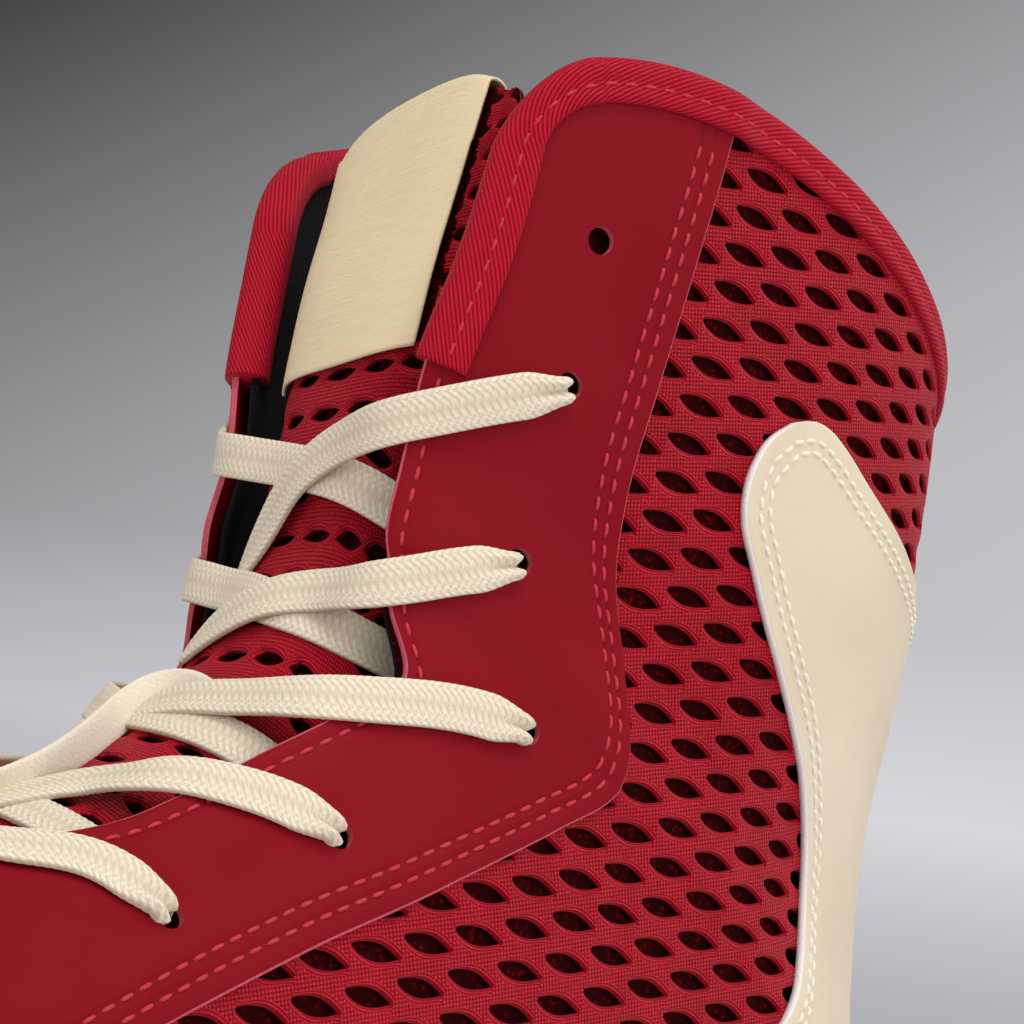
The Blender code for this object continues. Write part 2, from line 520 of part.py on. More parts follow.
def lace_bar(route, side, top_lift):
    """One flat lace from an eyelet over the panel, the throat edge and the tongue, as rings of a flat oval."""
    u, s = np.array(route).T
    edge = throat(u)
    face, _ = tongue_lifts(u, s)
    over = np.clip((s - edge + 16.0) / 14.0, 0, 1)   # taut between the throat edge and the tongue
    base = face + (GAP + OVERLAY - face) * over
    s = side * s
    base = np.maximum(base, np.convolve(np.pad(base, 1, mode="edge"), np.ones(3) / 3, mode="valid"))
    lift = base + 1.0 + top_lift
    mid = skin(u, s, lift + 0.5 * LACE_THICK)
    along = np.gradient(mid, axis=0)
    along = along / np.linalg.norm(along, axis=1, keepdims=True)
    up = normals(u, s)
    wide = np.cross(up, along)
    wide = wide / np.linalg.norm(wide, axis=1, keepdims=True)
    up = np.cross(along, wide)
    oval = ((0.5, 0.0), (0.36, 0.5), (-0.36, 0.5), (-0.5, 0.0), (-0.36, -0.5), (0.36, -0.5))
    return np.stack([mid + wide * a * LACE_WIDTH + up * b * LACE_THICK for a, b in oval], 1)


# Start from an empty scene
for old in list(bpy.data.objects):
    bpy.data.objects.remove(old)
shoe = bpy.data.collections.new("boxing_shoe")
cutters = bpy.data.collections.new("cutters")
for group in (shoe, cutters):
    bpy.context.scene.collection.children.link(group)

# The sole is the widest piece in plan: its box centres the shoe
sole_u = np.concatenate([np.linspace(0, 1, 5)[:-1], np.linspace(1, 10, 22)[:-1], np.linspace(10, HEEL_ROW, 9)])
top_rows, low_rows = sole_rows()
sole_top = full_width(sole_u, top_rows)
sole_low = full_width(sole_u, low_rows)
corners = np.concatenate([sole_top.reshape(-1, 3), sole_low.reshape(-1, 3)])
CENTRE = 0.5 * (corners.min(0) + corners.max(0)) * np.array([1.0, 1.0, 0.0])
print("centre of the sole", CENTRE)
outsole = two_skins("outsole", "outsole", [(sole_top, sole_low)], shoe)

# Flex grooves under the heel and forefoot
groove_points, groove_faces = [], []
for gx, half in GROOVES[1:]:
    n = len(groove_points)
    for px in (gx - GROOVE_WIDTH / 2, gx + GROOVE_WIDTH / 2):
        for py in (-half - 1.0, half - 1.0):
            for pz in (-2.0, GROOVE_DEPTH):
                groove_points.append((px, py, pz))
    groove_faces += [tuple(n + k for k in f) for f in
                     ((0, 1, 3, 2), (4, 6, 7, 5), (0, 4, 5, 1), (2, 3, 7, 6), (0, 2, 6, 4), (1, 5, 7, 3))]
groove_cutter = new_object("groove_cutter", groove_points, groove_faces, cutters)

# Insole lies on the sole inside the upper's wall
insole_u = np.concatenate([np.linspace(0, 1, 4)[:-1], np.linspace(1, 10, 11)[:-1], np.linspace(10, HEEL_ROW, 5)])
inset = -(WALL + 3.8)


def insole_top_z(x):
    return feather_z(x) + INSOLE_THICK


def insole_low_z(x):
    return feather_z(x) + 0.1


insole_top = full_width(insole_u, [(inset - 0.5, share, insole_top_z) for share in (1.0, 0.5, 0.0)])
insole_low = full_width(insole_u, [(inset, share, insole_low_z) for share in (1.0, 0.5, 0.0)])
insole = two_skins("insole", "insole", [(insole_top, insole_low)], shoe)

# Upper: one wall over the last, open at collar, throat and underneath
grids = [upper_grid(side) for side in (1, -1)]
upper = two_skins("upper", "upper", [(skin(u, s), skin(u, s, -WALL)) for u, s in grids], shoe)


def overlay(name, kind, parts):
    """Overlay on the upper's own grid lines: parts are (first row, last row, columns)."""
    patches = []
    for u, s in grids:
        for first, last, columns in parts:
            rows = (u[:, 0] >= first - 1e-6) & (np.arange(len(u)) <= last)
            patches.append((skin(u[rows][:, columns], s[rows][:, columns], GAP + OVERLAY),
                            skin(u[rows][:, columns], s[rows][:, columns], GAP)))
    return two_skins(name, kind, patches, shoe)


# Eyestay runs on over the toe; above the tape's lower end it stops at the tape
row_count = len(grids[0][0])
row_of = {round(float(v), 2): k for k, v in enumerate(grids[0][0][:, 0])}
eyestay = overlay("eyestay", "eyestay", [(0.6, row_of[BINDING_ROW], slice(0, 6)),
                                         (BINDING_ROW, row_count - 5, slice(2, 6))])

# Heel counter, both wings and round the back
counter = overlay("heel_counter", "heel_counter", [(COUNTER_ROWS[0], row_of[COUNTER_ROWS[1]], slice(8, 14))])

# Tape folded over the collar rim and the upper throat edges
binding = rings("collar_binding", "collar_binding", binding_loops(), shoe)

# Tongue and the woven label folded over its top
tongue_u = np.array([4.5, 5.0, 5.5, 6.2, 7.0, 7.8, 8.6, 9.4, 10.2, 11.0, 12.0, 13.0, 13.6, 14.2, 15.0, 15.8,
                     16.6, 17.3, 17.8, 18.0])
tongue_s = tongue_columns(tongue_u)
tongue = two_skins("tongue", "tongue", [tongue_faces(tongue_u[:, None], tongue_s)], shoe)

label_rows = np.linspace(0.0, 1.0, 9)[:, None]
label_half = tongue_columns(np.array([15.5]))[0][2:9]
label_foot = LABEL_ROW + LABEL_SLANT * label_half
label_u = label_foot + (18.0 - label_foot) * label_rows
label_s = np.stack([tongue_columns(label_u[:, j])[:, j + 2] for j in range(7)], 1)
label_u = tongue_row(label_u, label_s)
face_out, face_in = tongue_lifts(label_u, label_s)
crest = bare(label_u[-1], label_s[-1]) - bare(label_u[-1] - 0.1, label_s[-1])
crest = crest / np.linalg.norm(crest, axis=1, keepdims=True)


def label_sheet(lift):
    front = skin(label_u, label_s, face_out + lift)
    back = skin(label_u, label_s, face_in - lift)[-4:][::-1]
    over = [front[-1] + crest * lift, back[0] + crest * lift]
    return np.concatenate([front[:-1], np.stack(over), back[1:]], 0)


label = two_skins("tongue_label", "tongue_label",
                  [(label_sheet(1.8 * GAP + LABEL_THICK), label_sheet(1.8 * GAP))], shoe)

# Laces: a crossing at each pair of eyelets in use; at the lowest pair the two halves make one bar
for k, (from_outer, from_inner) in enumerate(LACE_ROUTES, 1):
    first = rings("lace_%d" % k, "lace", lace_bar(from_outer, 1.0, 0.45), shoe)
    second = rings("lace_%d_other" % k, "lace", lace_bar(from_inner, -1.0, 0.0), cutters)
    join = first.modifiers.new("join", "BOOLEAN")
    join.operation = "UNION"
    join.solver = "EXACT"
    join.object = second

# Eyelet holes through upper and eyestay
HOLE_SIDES = 8
turn = np.linspace(0, 2 * np.pi, HOLE_SIDES + 1)[:-1]
hole_points, hole_faces = [], []
for u0, s0 in EYELETS[1:]:
    for side in (1, -1):
        at = np.array([u0])
        girth = np.array([side * s0])
        mid = bare(at, girth)[0]
        axis = normals(at, girth)[0]
        a = np.cross(axis, (0.0, 0.0, 1.0))
        a = a / np.linalg.norm(a)
        b = np.cross(axis, a)
        n = len(hole_points)
        for height in (-WALL - 3.0, OVERLAY + 4.0):
            hole_points += list(mid + axis * height + EYELET_RADIUS * (np.cos(turn)[:, None] * a
                                                                       + np.sin(turn)[:, None] * b))
        m = n + HOLE_SIDES
        hole_faces += [tuple(range(n, m)), tuple(range(m + HOLE_SIDES - 1, m - 1, -1))]
        hole_faces += [(n + j, m + j, m + (j + 1) % HOLE_SIDES, n + (j + 1) % HOLE_SIDES)
                       for j in range(HOLE_SIDES)]
hole_cutter = new_object("eyelet_cutter", hole_points, hole_faces, cutters)

for target, tool in ((upper, hole_cutter), (eyestay, hole_cutter), (outsole, groove_cutter)):
    cut = target.modifiers.new("cut", "BOOLEAN")
    cut.operation = "DIFFERENCE"
    cut.solver = "EXACT"
    cut.object = tool

for ob in cutters.objects:
    ob.hide_render = True
    ob.display_type = "WIRE"
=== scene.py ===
# Boxing shoe, left foot: knit, panels, tape, tongue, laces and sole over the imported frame
import bpy
import bmesh
import numpy as np
from mathutils import Matrix


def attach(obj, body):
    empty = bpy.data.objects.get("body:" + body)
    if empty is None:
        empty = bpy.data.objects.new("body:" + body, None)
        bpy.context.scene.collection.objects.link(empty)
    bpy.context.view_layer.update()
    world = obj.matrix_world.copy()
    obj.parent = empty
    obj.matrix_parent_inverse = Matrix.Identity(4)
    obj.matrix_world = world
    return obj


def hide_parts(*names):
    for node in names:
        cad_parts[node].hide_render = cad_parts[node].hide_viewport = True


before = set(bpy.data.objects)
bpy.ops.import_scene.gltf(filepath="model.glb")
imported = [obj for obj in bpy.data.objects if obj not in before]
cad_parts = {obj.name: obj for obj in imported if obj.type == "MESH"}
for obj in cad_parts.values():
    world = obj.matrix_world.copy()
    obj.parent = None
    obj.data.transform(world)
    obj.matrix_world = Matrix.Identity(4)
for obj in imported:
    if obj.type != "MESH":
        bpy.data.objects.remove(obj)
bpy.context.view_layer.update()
mm = 0.001   # in metres
shoeCentre = np.array([139.25, -0.428, 0.0])   # middle of the sole's box, in the last's own mm
print("frame loaded:", len(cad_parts), "nodes")


# Small tools: colours, nodes, materials and meshes

def hexColour(code):  # sRGB hex to linear
    c = np.array([int(code[k:k + 2], 16) for k in (1, 3, 5)]) / 255
    lin = np.where(c <= 0.04045, c / 12.92, ((c + 0.055) / 1.055) ** 2.4)
    return (*lin.tolist(), 1.0)


def addNode(tree, kind, inputs=None, **settings):  # sockets among the inputs are linked, values set
    made = tree.nodes.new("ShaderNode" + kind)
    for name, value in settings.items():
        setattr(made, name, value)
    for place, value in (inputs or {}).items():
        if isinstance(value, bpy.types.NodeSocket):
            tree.links.new(value, made.inputs[place])
        else:
            made.inputs[place].default_value = value
    return made


def startMaterial(name, sockets):  # Principled shader with constant sockets set
    material = bpy.data.materials.new(name)
    material.use_nodes = True
    tree = material.node_tree
    shader = tree.nodes["Principled BSDF"]
    for place, value in sockets.items():
        shader.inputs[place].default_value = value
    return material, tree, shader


def joinGrids(grids):  # points and vertex numbers of several (rows, columns, 3) grids in one list
    points = np.concatenate([g.reshape(-1, 3) for g in grids])
    starts = np.cumsum([0] + [g.shape[0] * g.shape[1] for g in grids[:-1]])
    numbers = [np.arange(g.shape[0] * g.shape[1]).reshape(g.shape[:2]) + n for g, n in zip(grids, starts)]
    return points, numbers


def gridQuads(n, closed=False):  # quads of a grid of vertex numbers; closed joins its last column on
    if closed:
        n = np.concatenate([n, n[:, :1]], 1)
    return np.stack([n[:-1, :-1], n[:-1, 1:], n[1:, 1:], n[1:, :-1]], -1).reshape(-1, 4)


def mirrorQuads(numbers):  # quads of two grids that mirror each other
    return np.concatenate([gridQuads(numbers[0]), gridQuads(numbers[1])[:, ::-1]])


def tubeQuads(n):  # closed tube of rings, both ends folded flat
    half = n.shape[1] // 2
    ends = [gridQuads(np.stack([n[end, :half], n[end, ::-1][:half]])) for end in (0, -1)]
    return np.concatenate([gridQuads(n, closed=True)] + ends)


def ringQuads(rings, first=0):  # quads between the rings of many cells or tubes, (count, depth, around)
    count, depth, around = rings.shape[:3]
    n = np.arange(count * depth * around).reshape(count, depth, around) + first
    n = np.concatenate([n, n[:, :, :1]], 2)
    return np.stack([n[:, :-1, :-1], n[:, :-1, 1:], n[:, 1:, 1:], n[:, 1:, :-1]], -1).reshape(-1, 4)


def addObject(name, data):
    made = bpy.data.objects.new(name, data)
    bpy.context.scene.collection.objects.link(made)
    return made


def turnedTo(right, up, back, place):  # matrix of a camera or lamp that looks along minus back
    turn = np.eye(4)
    turn[:3, 0], turn[:3, 1], turn[:3, 2], turn[:3, 3] = right, up, back, place
    return Matrix(turn.tolist())


def makePiece(name, points, quads, materials, nodes, uvMaps=None, faceSlots=None, outward=True,
              weld=2e-6):
    # mesh from points in the last's mm; corners that fall together are welded, flat leftovers go
    mesh = bpy.data.meshes.new(name)
    mesh.vertices.add(len(points))
    mesh.vertices.foreach_set("co", ((points - shoeCentre) * mm).astype(np.float32).ravel())
    mesh.loops.add(quads.size)
    mesh.loops.foreach_set("vertex_index", quads.astype(np.int32).ravel())
    mesh.polygons.add(len(quads))
    mesh.polygons.foreach_set("loop_start", np.arange(0, quads.size, 4, dtype=np.int32))
    if faceSlots is not None:
        mesh.polygons.foreach_set("material_index", np.asarray(faceSlots, np.int32))
    mesh.polygons.foreach_set("use_smooth", np.ones(len(quads), bool))
    mesh.update(calc_edges=True)
    for mapName, uv in (uvMaps or {}).items():
        layer = mesh.uv_layers.new(name=mapName)
        layer.data.foreach_set("uv", uv[quads.ravel()].astype(np.float32).ravel())
    work = bmesh.new()
    work.from_mesh(mesh)
    bmesh.ops.remove_doubles(work, verts=work.verts, dist=weld)
    bmesh.ops.dissolve_degenerate(work, edges=work.edges, dist=1e-7)
    if outward:
        bmesh.ops.recalc_face_normals(work, faces=work.faces)
    work.to_mesh(mesh)
    work.free()
    piece = addObject(name, mesh)
    for material in materials:
        mesh.materials.append(material)
    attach(piece, "root")
    if nodes:
        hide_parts(*nodes)
    print("made", name, len(mesh.polygons), "faces")
    return piece


def freeze(piece):  # keep the result of the piece's modifiers as its mesh
    graph = bpy.context.evaluated_depsgraph_get()
    done = bpy.data.meshes.new_from_object(piece.evaluated_get(graph))
    piece.modifiers.clear()
    piece.data = done


def thicken(piece, thickMm, offset, nextSlot=0):  # a sheet gets a wall; its far side may take a later slot
    wall = piece.modifiers.new("wall", "SOLIDIFY")
    wall.thickness = thickMm * mm
    wall.offset = offset
    wall.material_offset = nextSlot
    wall.material_offset_rim = nextSlot
    freeze(piece)


def softStep(x, low, high):  # 0 below low, 1 above high, smooth between
    t = np.clip((x - low) / (high - low), 0, 1)
    return t * t * (3 - 2 * t)


def smoothLine(table, at):  # cubic pieces through a two-column table, with averaged slopes
    xs, ys = np.array(table, float).T
    at = np.clip(np.asarray(at, float), xs[0], xs[-1])
    slope = np.gradient(ys, xs)
    i = np.clip(np.searchsorted(xs, at, side="right") - 1, 0, len(xs) - 2)
    step = xs[i + 1] - xs[i]
    f = (at - xs[i]) / step
    return ((1 + 2 * f) * (1 - f) ** 2 * ys[i] + f * (1 - f) ** 2 * step * slope[i]
            + f * f * (3 - 2 * f) * ys[i + 1] + f * f * (f - 1) * step * slope[i + 1])


def lineAt(table, at):  # straight pieces through a two-column table
    return np.interp(at, *np.array(table, float).T)


def sideIndex(side):
    return 0 if side > 0 else 1


def unit(v):
    return v / np.maximum(np.linalg.norm(v, axis=-1, keepdims=True), 1e-9)


def runLength(line):  # distance along a line of points
    return np.concatenate([[0], np.cumsum(np.linalg.norm(np.diff(line, axis=0), axis=1))])


# The last: one row for each section, toe to collar, in mm
# ridge point, feather or back point, half widths at belly and feather, belly place, fullness above and
# below it, roundness of the lower part, sideways shift, lift of the rim between front and back
lastNames = ("ridgeX", "ridgeZ", "endX", "endZ", "wideOut", "wideIn", "edgeOut", "edgeIn",
             "belly", "fullTop", "fullLow", "roundLow", "shift", "bow")
lastRows = np.array([
    (276.0, 21.0, 276.0, 20.0, 0.0, 0.0, 0.0, 0.0, 0.60, 2.0, 2.0, 0.0, -5.0, 0.0),
    (273.5, 30.0, 273.5, 18.5, 13.0, 14.0, 12.0, 13.0, 0.60, 2.0, 2.0, 0.0, -4.0, 0.0),
    (267.0, 36.0, 267.0, 17.0, 24.0, 25.0, 22.5, 23.5, 0.60, 2.0, 2.0, 0.0, -3.5, 0.0),
    (254.0, 41.5, 254.0, 14.0, 34.5, 36.0, 33.0, 35.0, 0.62, 2.1, 2.0, 0.0, -3.0, 0.0),
    (236.0, 46.5, 236.0, 11.0, 42.0, 43.0, 40.5, 42.0, 0.64, 2.1, 2.0, 0.0, -2.0, 0.0),
    (213.0, 53.0, 213.0, 9.0, 46.5, 45.5, 45.0, 44.0, 0.66, 2.1, 2.0, 0.0, -1.0, 0.0),
    (190.0, 61.0, 186.0, 9.0, 45.0, 43.0, 43.0, 41.0, 0.66, 2.1, 2.0, 0.0, 0.0, 0.0),
    (173.0, 69.5, 150.0, 10.5, 42.0, 39.0, 38.0, 34.0, 0.64, 2.2, 2.0, 0.0, 0.0, 0.0),
    (160.0, 79.0, 108.0, 12.5, 39.0, 37.0, 33.5, 30.0, 0.60, 2.4, 2.0, 0.0, 0.0, 0.0),
    (150.0, 90.0, 64.0, 13.0, 37.0, 36.0, 31.5, 30.5, 0.56, 2.6, 2.0, 0.0, 0.0, 0.0),
    (144.5, 101.0, 25.0, 13.0, 35.0, 35.0, 29.5, 29.0, 0.53, 2.8, 2.0, 0.35, 0.0, 0.0),
    (142.5, 109.0, 6.5, 13.4, 34.5, 34.5, 18.5, 18.5, 0.53, 2.9, 2.0, 0.7, 0.0, 0.0),
    (141.5, 115.0, 2.5, 14.0, 34.5, 34.5, 0.0, 0.0, 0.52, 3.0, 1.95, 1.0, 0.0, 0.0),
    (140.0, 125.0, 4.4, 40.0, 33.0, 33.0, 0.0, 0.0, 0.52, 3.1, 1.62, 1.0, 0.0, 2.0),
    (139.0, 136.0, 9.0, 72.0, 35.4, 35.4, 0.0, 0.0, 0.52, 3.2, 1.74, 1.0, 0.0, 5.0),
    (138.0, 148.0, 10.2, 98.0, 37.5, 37.5, 0.0, 0.0, 0.52, 3.2, 2.1, 1.0, 0.0, 10.0),
    (137.0, 157.0, 9.3, 123.0, 39.0, 39.0, 0.0, 0.0, 0.52, 3.2, 2.15, 1.0, 0.0, 16.0),
    (135.5, 167.0, 10.5, 149.0, 40.5, 40.5, 0.0, 0.0, 0.52, 3.2, 2.15, 1.0, 0.0, 22.0),
    (133.5, 181.0, 12.0, 172.0, 41.5, 41.5, 0.0, 0.0, 0.52, 3.2, 2.15, 1.0, 0.0, 24.0)])
lastTop = len(lastRows) - 1.0
heelRow = 12.0      # rows from here up close round the back
rimRow = 17.0       # collar rim
throatRow = 5.0     # front end of the throat
tableStep = 40      # rows of the lookup table for each row of the last
tableShares = np.linspace(0, 1, 401)


def lastRow(u):  # all columns at rows u, by cubic pieces through the table
    i = np.clip(np.floor(u).astype(int), 0, len(lastRows) - 2)
    f = (u - i)[:, None]
    here, there = lastRows[i], lastRows[i + 1]
    before = np.where(i[:, None] > 0, lastRows[np.maximum(i - 1, 0)], 2 * here - there)
    final = len(lastRows) - 1
    after = np.where(i[:, None] < final - 1, lastRows[np.minimum(i + 2, final)], 2 * there - here)
    value = here + 0.5 * f * (there - before + f * (2 * before - 5 * here + 4 * there - after
                                                    + f * (3 * (here - there) + after - before)))
    return dict(zip(lastNames, value.T))


def halfSections(u, side):
    # half section: a fuller-than-round arch from ridge to belly, then a bowed or round part to the end
    row = {name: value[:, None] for name, value in lastRow(u).items()}
    edge = np.maximum(row["edgeOut" if side > 0 else "edgeIn"], 0.0)
    wide = np.maximum(row["wideOut" if side > 0 else "wideIn"], edge)
    angle = np.linspace(0, np.pi / 2, 90)[None, :]
    cos, sin = np.clip(np.cos(angle), 0, 1), np.sin(angle)
    topAlong = row["belly"] * (1 - cos ** (2 / row["fullTop"]))
    topOut = wide * sin ** (2 / row["fullTop"])
    q = sin ** (2 / row["fullLow"])
    lowAlong = row["belly"] + (1 - row["belly"]) * q
    bend = (1 - row["roundLow"]) * (1 - q ** 2) + row["roundLow"] * cos ** (2 / row["fullLow"])
    along = np.concatenate([topAlong, lowAlong[:, 1:]], 1)
    out = np.concatenate([topOut, (edge + (wide - edge) * bend)[:, 1:]], 1)
    x = row["ridgeX"] + (row["endX"] - row["ridgeX"]) * along
    z = row["ridgeZ"] + (row["endZ"] - row["ridgeZ"]) * along
    z = z + row["bow"] * along ** 0.6 * (1 - along) / 0.347
    points = np.stack([x, row["shift"] + side * out, z], -1)
    girth = np.cumsum(np.linalg.norm(np.diff(points, axis=1, prepend=points[:, :1]), axis=2), 1)
    return points, girth


def sectionTable(side):  # the half sections again, at equal shares of each row's girth
    u = np.linspace(0, lastTop, int(lastTop) * tableStep + 1)
    points, girth = halfSections(u, side)
    want = tableShares[None, :] * girth[:, -1:]
    i = np.clip((girth[:, None, :] < want[:, :, None]).sum(2), 1, girth.shape[1] - 1)
    n = np.arange(len(u))[:, None]
    f = ((want - girth[n, i - 1]) / np.maximum(girth[n, i] - girth[n, i - 1], 1e-9))[..., None]
    return points[n, i - 1] * (1 - f) + points[n, i] * f, girth[:, -1]


tables = [sectionTable(side) for side in (1, -1)]
pointTable = np.stack([t[0] for t in tables])
girthTable = np.stack([t[1] for t in tables])
rowAxis = np.linspace(0, lastTop, girthTable.shape[1])
print("last worked out:", pointTable.shape)


def onLast(u, s):  # point at row u and girth s from the ridge; past the back the girth runs on round
    u, s = np.broadcast_arrays(np.asarray(u, float), np.asarray(s, float))
    place = np.clip(u, 0, lastTop) * tableStep
    low = np.clip(np.floor(place).astype(int), 0, girthTable.shape[1] - 2)
    half = (s < 0).astype(int)
    total = np.zeros(u.shape + (3,))
    for k in (0, 1):
        row = low + k
        share = np.abs(s) / girthTable[half, row].clip(1e-6)
        past = (share > 1) & (u >= heelRow)
        share = np.clip(np.where(past, 2 - share, share), 0, 1) * (len(tableShares) - 1)
        on = np.where(past, 1 - half, half)
        j = np.clip(np.floor(share).astype(int), 0, len(tableShares) - 2)
        w = (share - j)[..., None]
        p = pointTable[on, row, j] * (1 - w) + pointTable[on, row, j + 1] * w
        part = (place - low)[..., None]
        total += p * (part if k else 1 - part)
    return total


def lastNormal(u, s):  # outward unit normal from differences along the row and along the girth
    u, s = np.broadcast_arrays(np.asarray(u, float), np.asarray(s, float))
    along = onLast(np.minimum(u + 0.06, lastTop), s) - onLast(np.maximum(u - 0.06, 0), s)
    n = unit(np.cross(onLast(u, s + 1.2) - onLast(u, s - 1.2), along))
    return np.where((u < 0.02)[..., None], np.array([1.0, 0.0, 0.0]), n)


def skin(u, s, lift=0.0):  # point of the last raised along its normal
    return onLast(u, s) + lastNormal(u, s) * np.asarray(lift, float)[..., None]


def girthEnd(u, side):
    return np.interp(u, rowAxis, girthTable[sideIndex(side)])


# Edges on the last: (row, girth from the ridge)
throatTable = [(5.0, 0.0), (5.06, 8.0), (5.2, 14.5), (5.5, 20.5), (6.0, 26.0), (6.6, 28.5), (7.3, 28.5),
               (8.1, 29.0), (8.9, 32.0), (9.7, 35.5), (10.2, 30.0), (11.2, 26.5), (12.3, 25.0),
               (13.8, 25.2), (15.0, 29.0), (16.0, 31.4), (17.0, 33.6), (18.0, 35.2)]
stayTable = [(4.6, 76.0), (5.0, 72.0), (5.4, 67.0), (6.0, 61.0), (6.7, 56.5), (7.5, 55.2), (8.5, 59.3),
             (9.1, 63.4), (9.8, 69.5), (10.6, 75.5), (11.5, 78.6), (12.3, 78.0), (12.8, 72.0),
             (13.3, 65.8), (13.9, 63.3), (14.7, 64.1), (15.8, 66.8), (17.0, 71.5), (18.0, 74.0)]
eyelets = [(15.5, 48.4), (14.3, 47.9), (12.7, 47.2), (10.4, 57.0), (8.1, 44.2), (6.7, 44.1), (5.6, 40.0)]
lipHeight = 5.0     # sole wall above the feather line


def featherZ(x):
    xs, zs = np.array(sorted((r[2], r[3]) for r in lastRows[:int(heelRow) + 1])).T
    return np.interp(x, xs, zs)


def lipGirths(side):  # girth where each table row meets the top of the sole wall
    points, girth = pointTable[sideIndex(side)], girthTable[sideIndex(side)]
    above = points[..., 2] - featherZ(points[..., 0]) > lipHeight + 0.4
    last = np.where(above, np.arange(len(tableShares))[None, :], 0).max(1)
    return tableShares[last] * girth


lipTable = [lipGirths(side) for side in (1, -1)]
rim = {"sag": 0.45, "sagAt": 34.0, "sagWide": 26.0, "cornerRadius": 12.0, "rowMm": 12.9}


def rimLine(s, side):  # row of the collar rim: the soft collar dips at its inner front corner
    dip = rim["sag"] * np.exp(-((np.asarray(s, float) - rim["sagAt"]) / rim["sagWide"]) ** 2)
    return rimRow - dip * (side < 0)


def throatEdge(u, side=1):
    # with the collar's round front corner: radius - sqrt(radius^2 - (radius - depth)^2)
    u = np.asarray(u, float)
    radius = rim["cornerRadius"]
    depth = np.clip((rimLine(30.0, side) - u) * rim["rowMm"], 0, radius)
    corner = np.where(u > rimRow, 0.0, radius - np.sqrt(radius ** 2 - (radius - depth) ** 2))
    return np.where(u <= throatRow, 0.0, smoothLine(throatTable, u)) + corner


def stayEdge(u, side):
    lip = np.interp(u, rowAxis, lipTable[sideIndex(side)])
    return np.where(np.asarray(u) < 4.75, lip, np.minimum(smoothLine(stayTable, u), lip))


# The ankle unrolled: a runs back along the side and round the heel in mm, z is height
ankle = {"centreX": 52.0, "radius": 37.0, "backA": 37.0 * np.pi / 2}


def unroll(p, side):  # straight ahead of the ankle's centre, by angle behind it
    x, y = p[..., 0], side * p[..., 1]
    behind = ankle["radius"] * np.arctan2(ankle["centreX"] - x, y)
    return np.stack([np.where(x >= ankle["centreX"], ankle["centreX"] - x, behind), p[..., 2]], -1)


def refine(target, u, s, side, rounds):  # Newton steps towards the row and girth of an unrolled place
    for k in range(rounds):
        here = unroll(onLast(u, side * s), side)
        du = (unroll(onLast(u + 0.02, side * s), side) - here) / 0.02
        ds = (unroll(onLast(u, side * (s + 0.4)), side) - here) / 0.4
        miss = target - here
        det = du[..., 0] * ds[..., 1] - du[..., 1] * ds[..., 0]
        det = np.where(np.abs(det) < 1e-3, 1e-3, det)
        stepU = (miss[..., 0] * ds[..., 1] - miss[..., 1] * ds[..., 0]) / det
        stepS = (du[..., 0] * miss[..., 1] - du[..., 1] * miss[..., 0]) / det
        u = np.clip(u + np.clip(stepU, -0.5, 0.5), 0.3, lastTop - 0.03)
        end = girthEnd(u, side)
        s = np.clip(s + np.clip(stepS, -8, 8), 1.0, np.where(u >= heelRow, 1.6 * end, end))
    return u, s


guessStep = 4.0
guessA = np.arange(-226.0, 66.0, guessStep)
guessZ = np.arange(6.0, 190.0, guessStep)


def guessGrid(side):  # row and girth on a regular unrolled grid, from the nearest sample of the last
    u = np.linspace(0.5, lastTop, 120)[:, None] + np.zeros((1, 80))
    s = np.linspace(0.04, 1.0, 80)[None, :] * girthEnd(u, side)
    seen = unroll(onLast(u, side * s), side).reshape(-1, 2)
    nodes = np.stack(np.meshgrid(guessA, guessZ, indexing="ij"), -1)
    flat = nodes.reshape(-1, 2)
    near = (flat ** 2).sum(1)[:, None] - 2 * flat @ seen.T + (seen ** 2).sum(1)[None, :]
    firstU, firstS = [v.ravel()[near.argmin(1)].reshape(nodes.shape[:2]) for v in (u, s)]
    return np.stack(refine(nodes, firstU, firstS, side, 12), -1)


guesses = {side: guessGrid(side) for side in (1, -1)}


def wrap(az, side):  # row and girth (always above zero) of unrolled places on one side
    fa = np.clip((az[..., 0] - guessA[0]) / guessStep, 0, len(guessA) - 1.001)
    fz = np.clip((az[..., 1] - guessZ[0]) / guessStep, 0, len(guessZ) - 1.001)
    i, j = fa.astype(int), fz.astype(int)
    wa, wz = (fa - i)[..., None], (fz - j)[..., None]
    g = guesses[side]
    first = ((g[i, j] * (1 - wa) + g[i + 1, j] * wa) * (1 - wz)
             + (g[i, j + 1] * (1 - wa) + g[i + 1, j + 1] * wa) * wz)
    return refine(az, first[..., 0], first[..., 1], side, 4)


print("ankle unrolled")


# Materials

def uvNode(tree, name):
    uv = addNode(tree, "UVMap", uv_map=name)
    return addNode(tree, "SeparateXYZ", {0: uv.outputs[0]}).outputs


def calc(tree, operation, a, b=0.0, c=0.0):
    return addNode(tree, "Math", {0: a, 1: b, 2: c}, operation=operation).outputs[0]


def wave(tree, length, period):  # 0 to 1, one crest for each period
    turns = calc(tree, "MULTIPLY_ADD", length, 2 * np.pi / period)
    return calc(tree, "MULTIPLY_ADD", calc(tree, "COSINE", turns), 0.5, 0.5)


def mixColour(tree, amount, low, high):
    return addNode(tree, "Mix", {0: amount, 6: low, 7: high}, data_type="RGBA").outputs[2]


def paint(tree, shader, amount, low, high):  # base colour between two hex codes
    tree.links.new(mixColour(tree, amount, hexColour(low), hexColour(high)), shader.inputs["Base Color"])


def addGrain(tree, tone, noise, share):  # tone + (noise - 0.5) * share
    return calc(tree, "MULTIPLY_ADD", calc(tree, "SUBTRACT", noise, 0.5), share, tone)


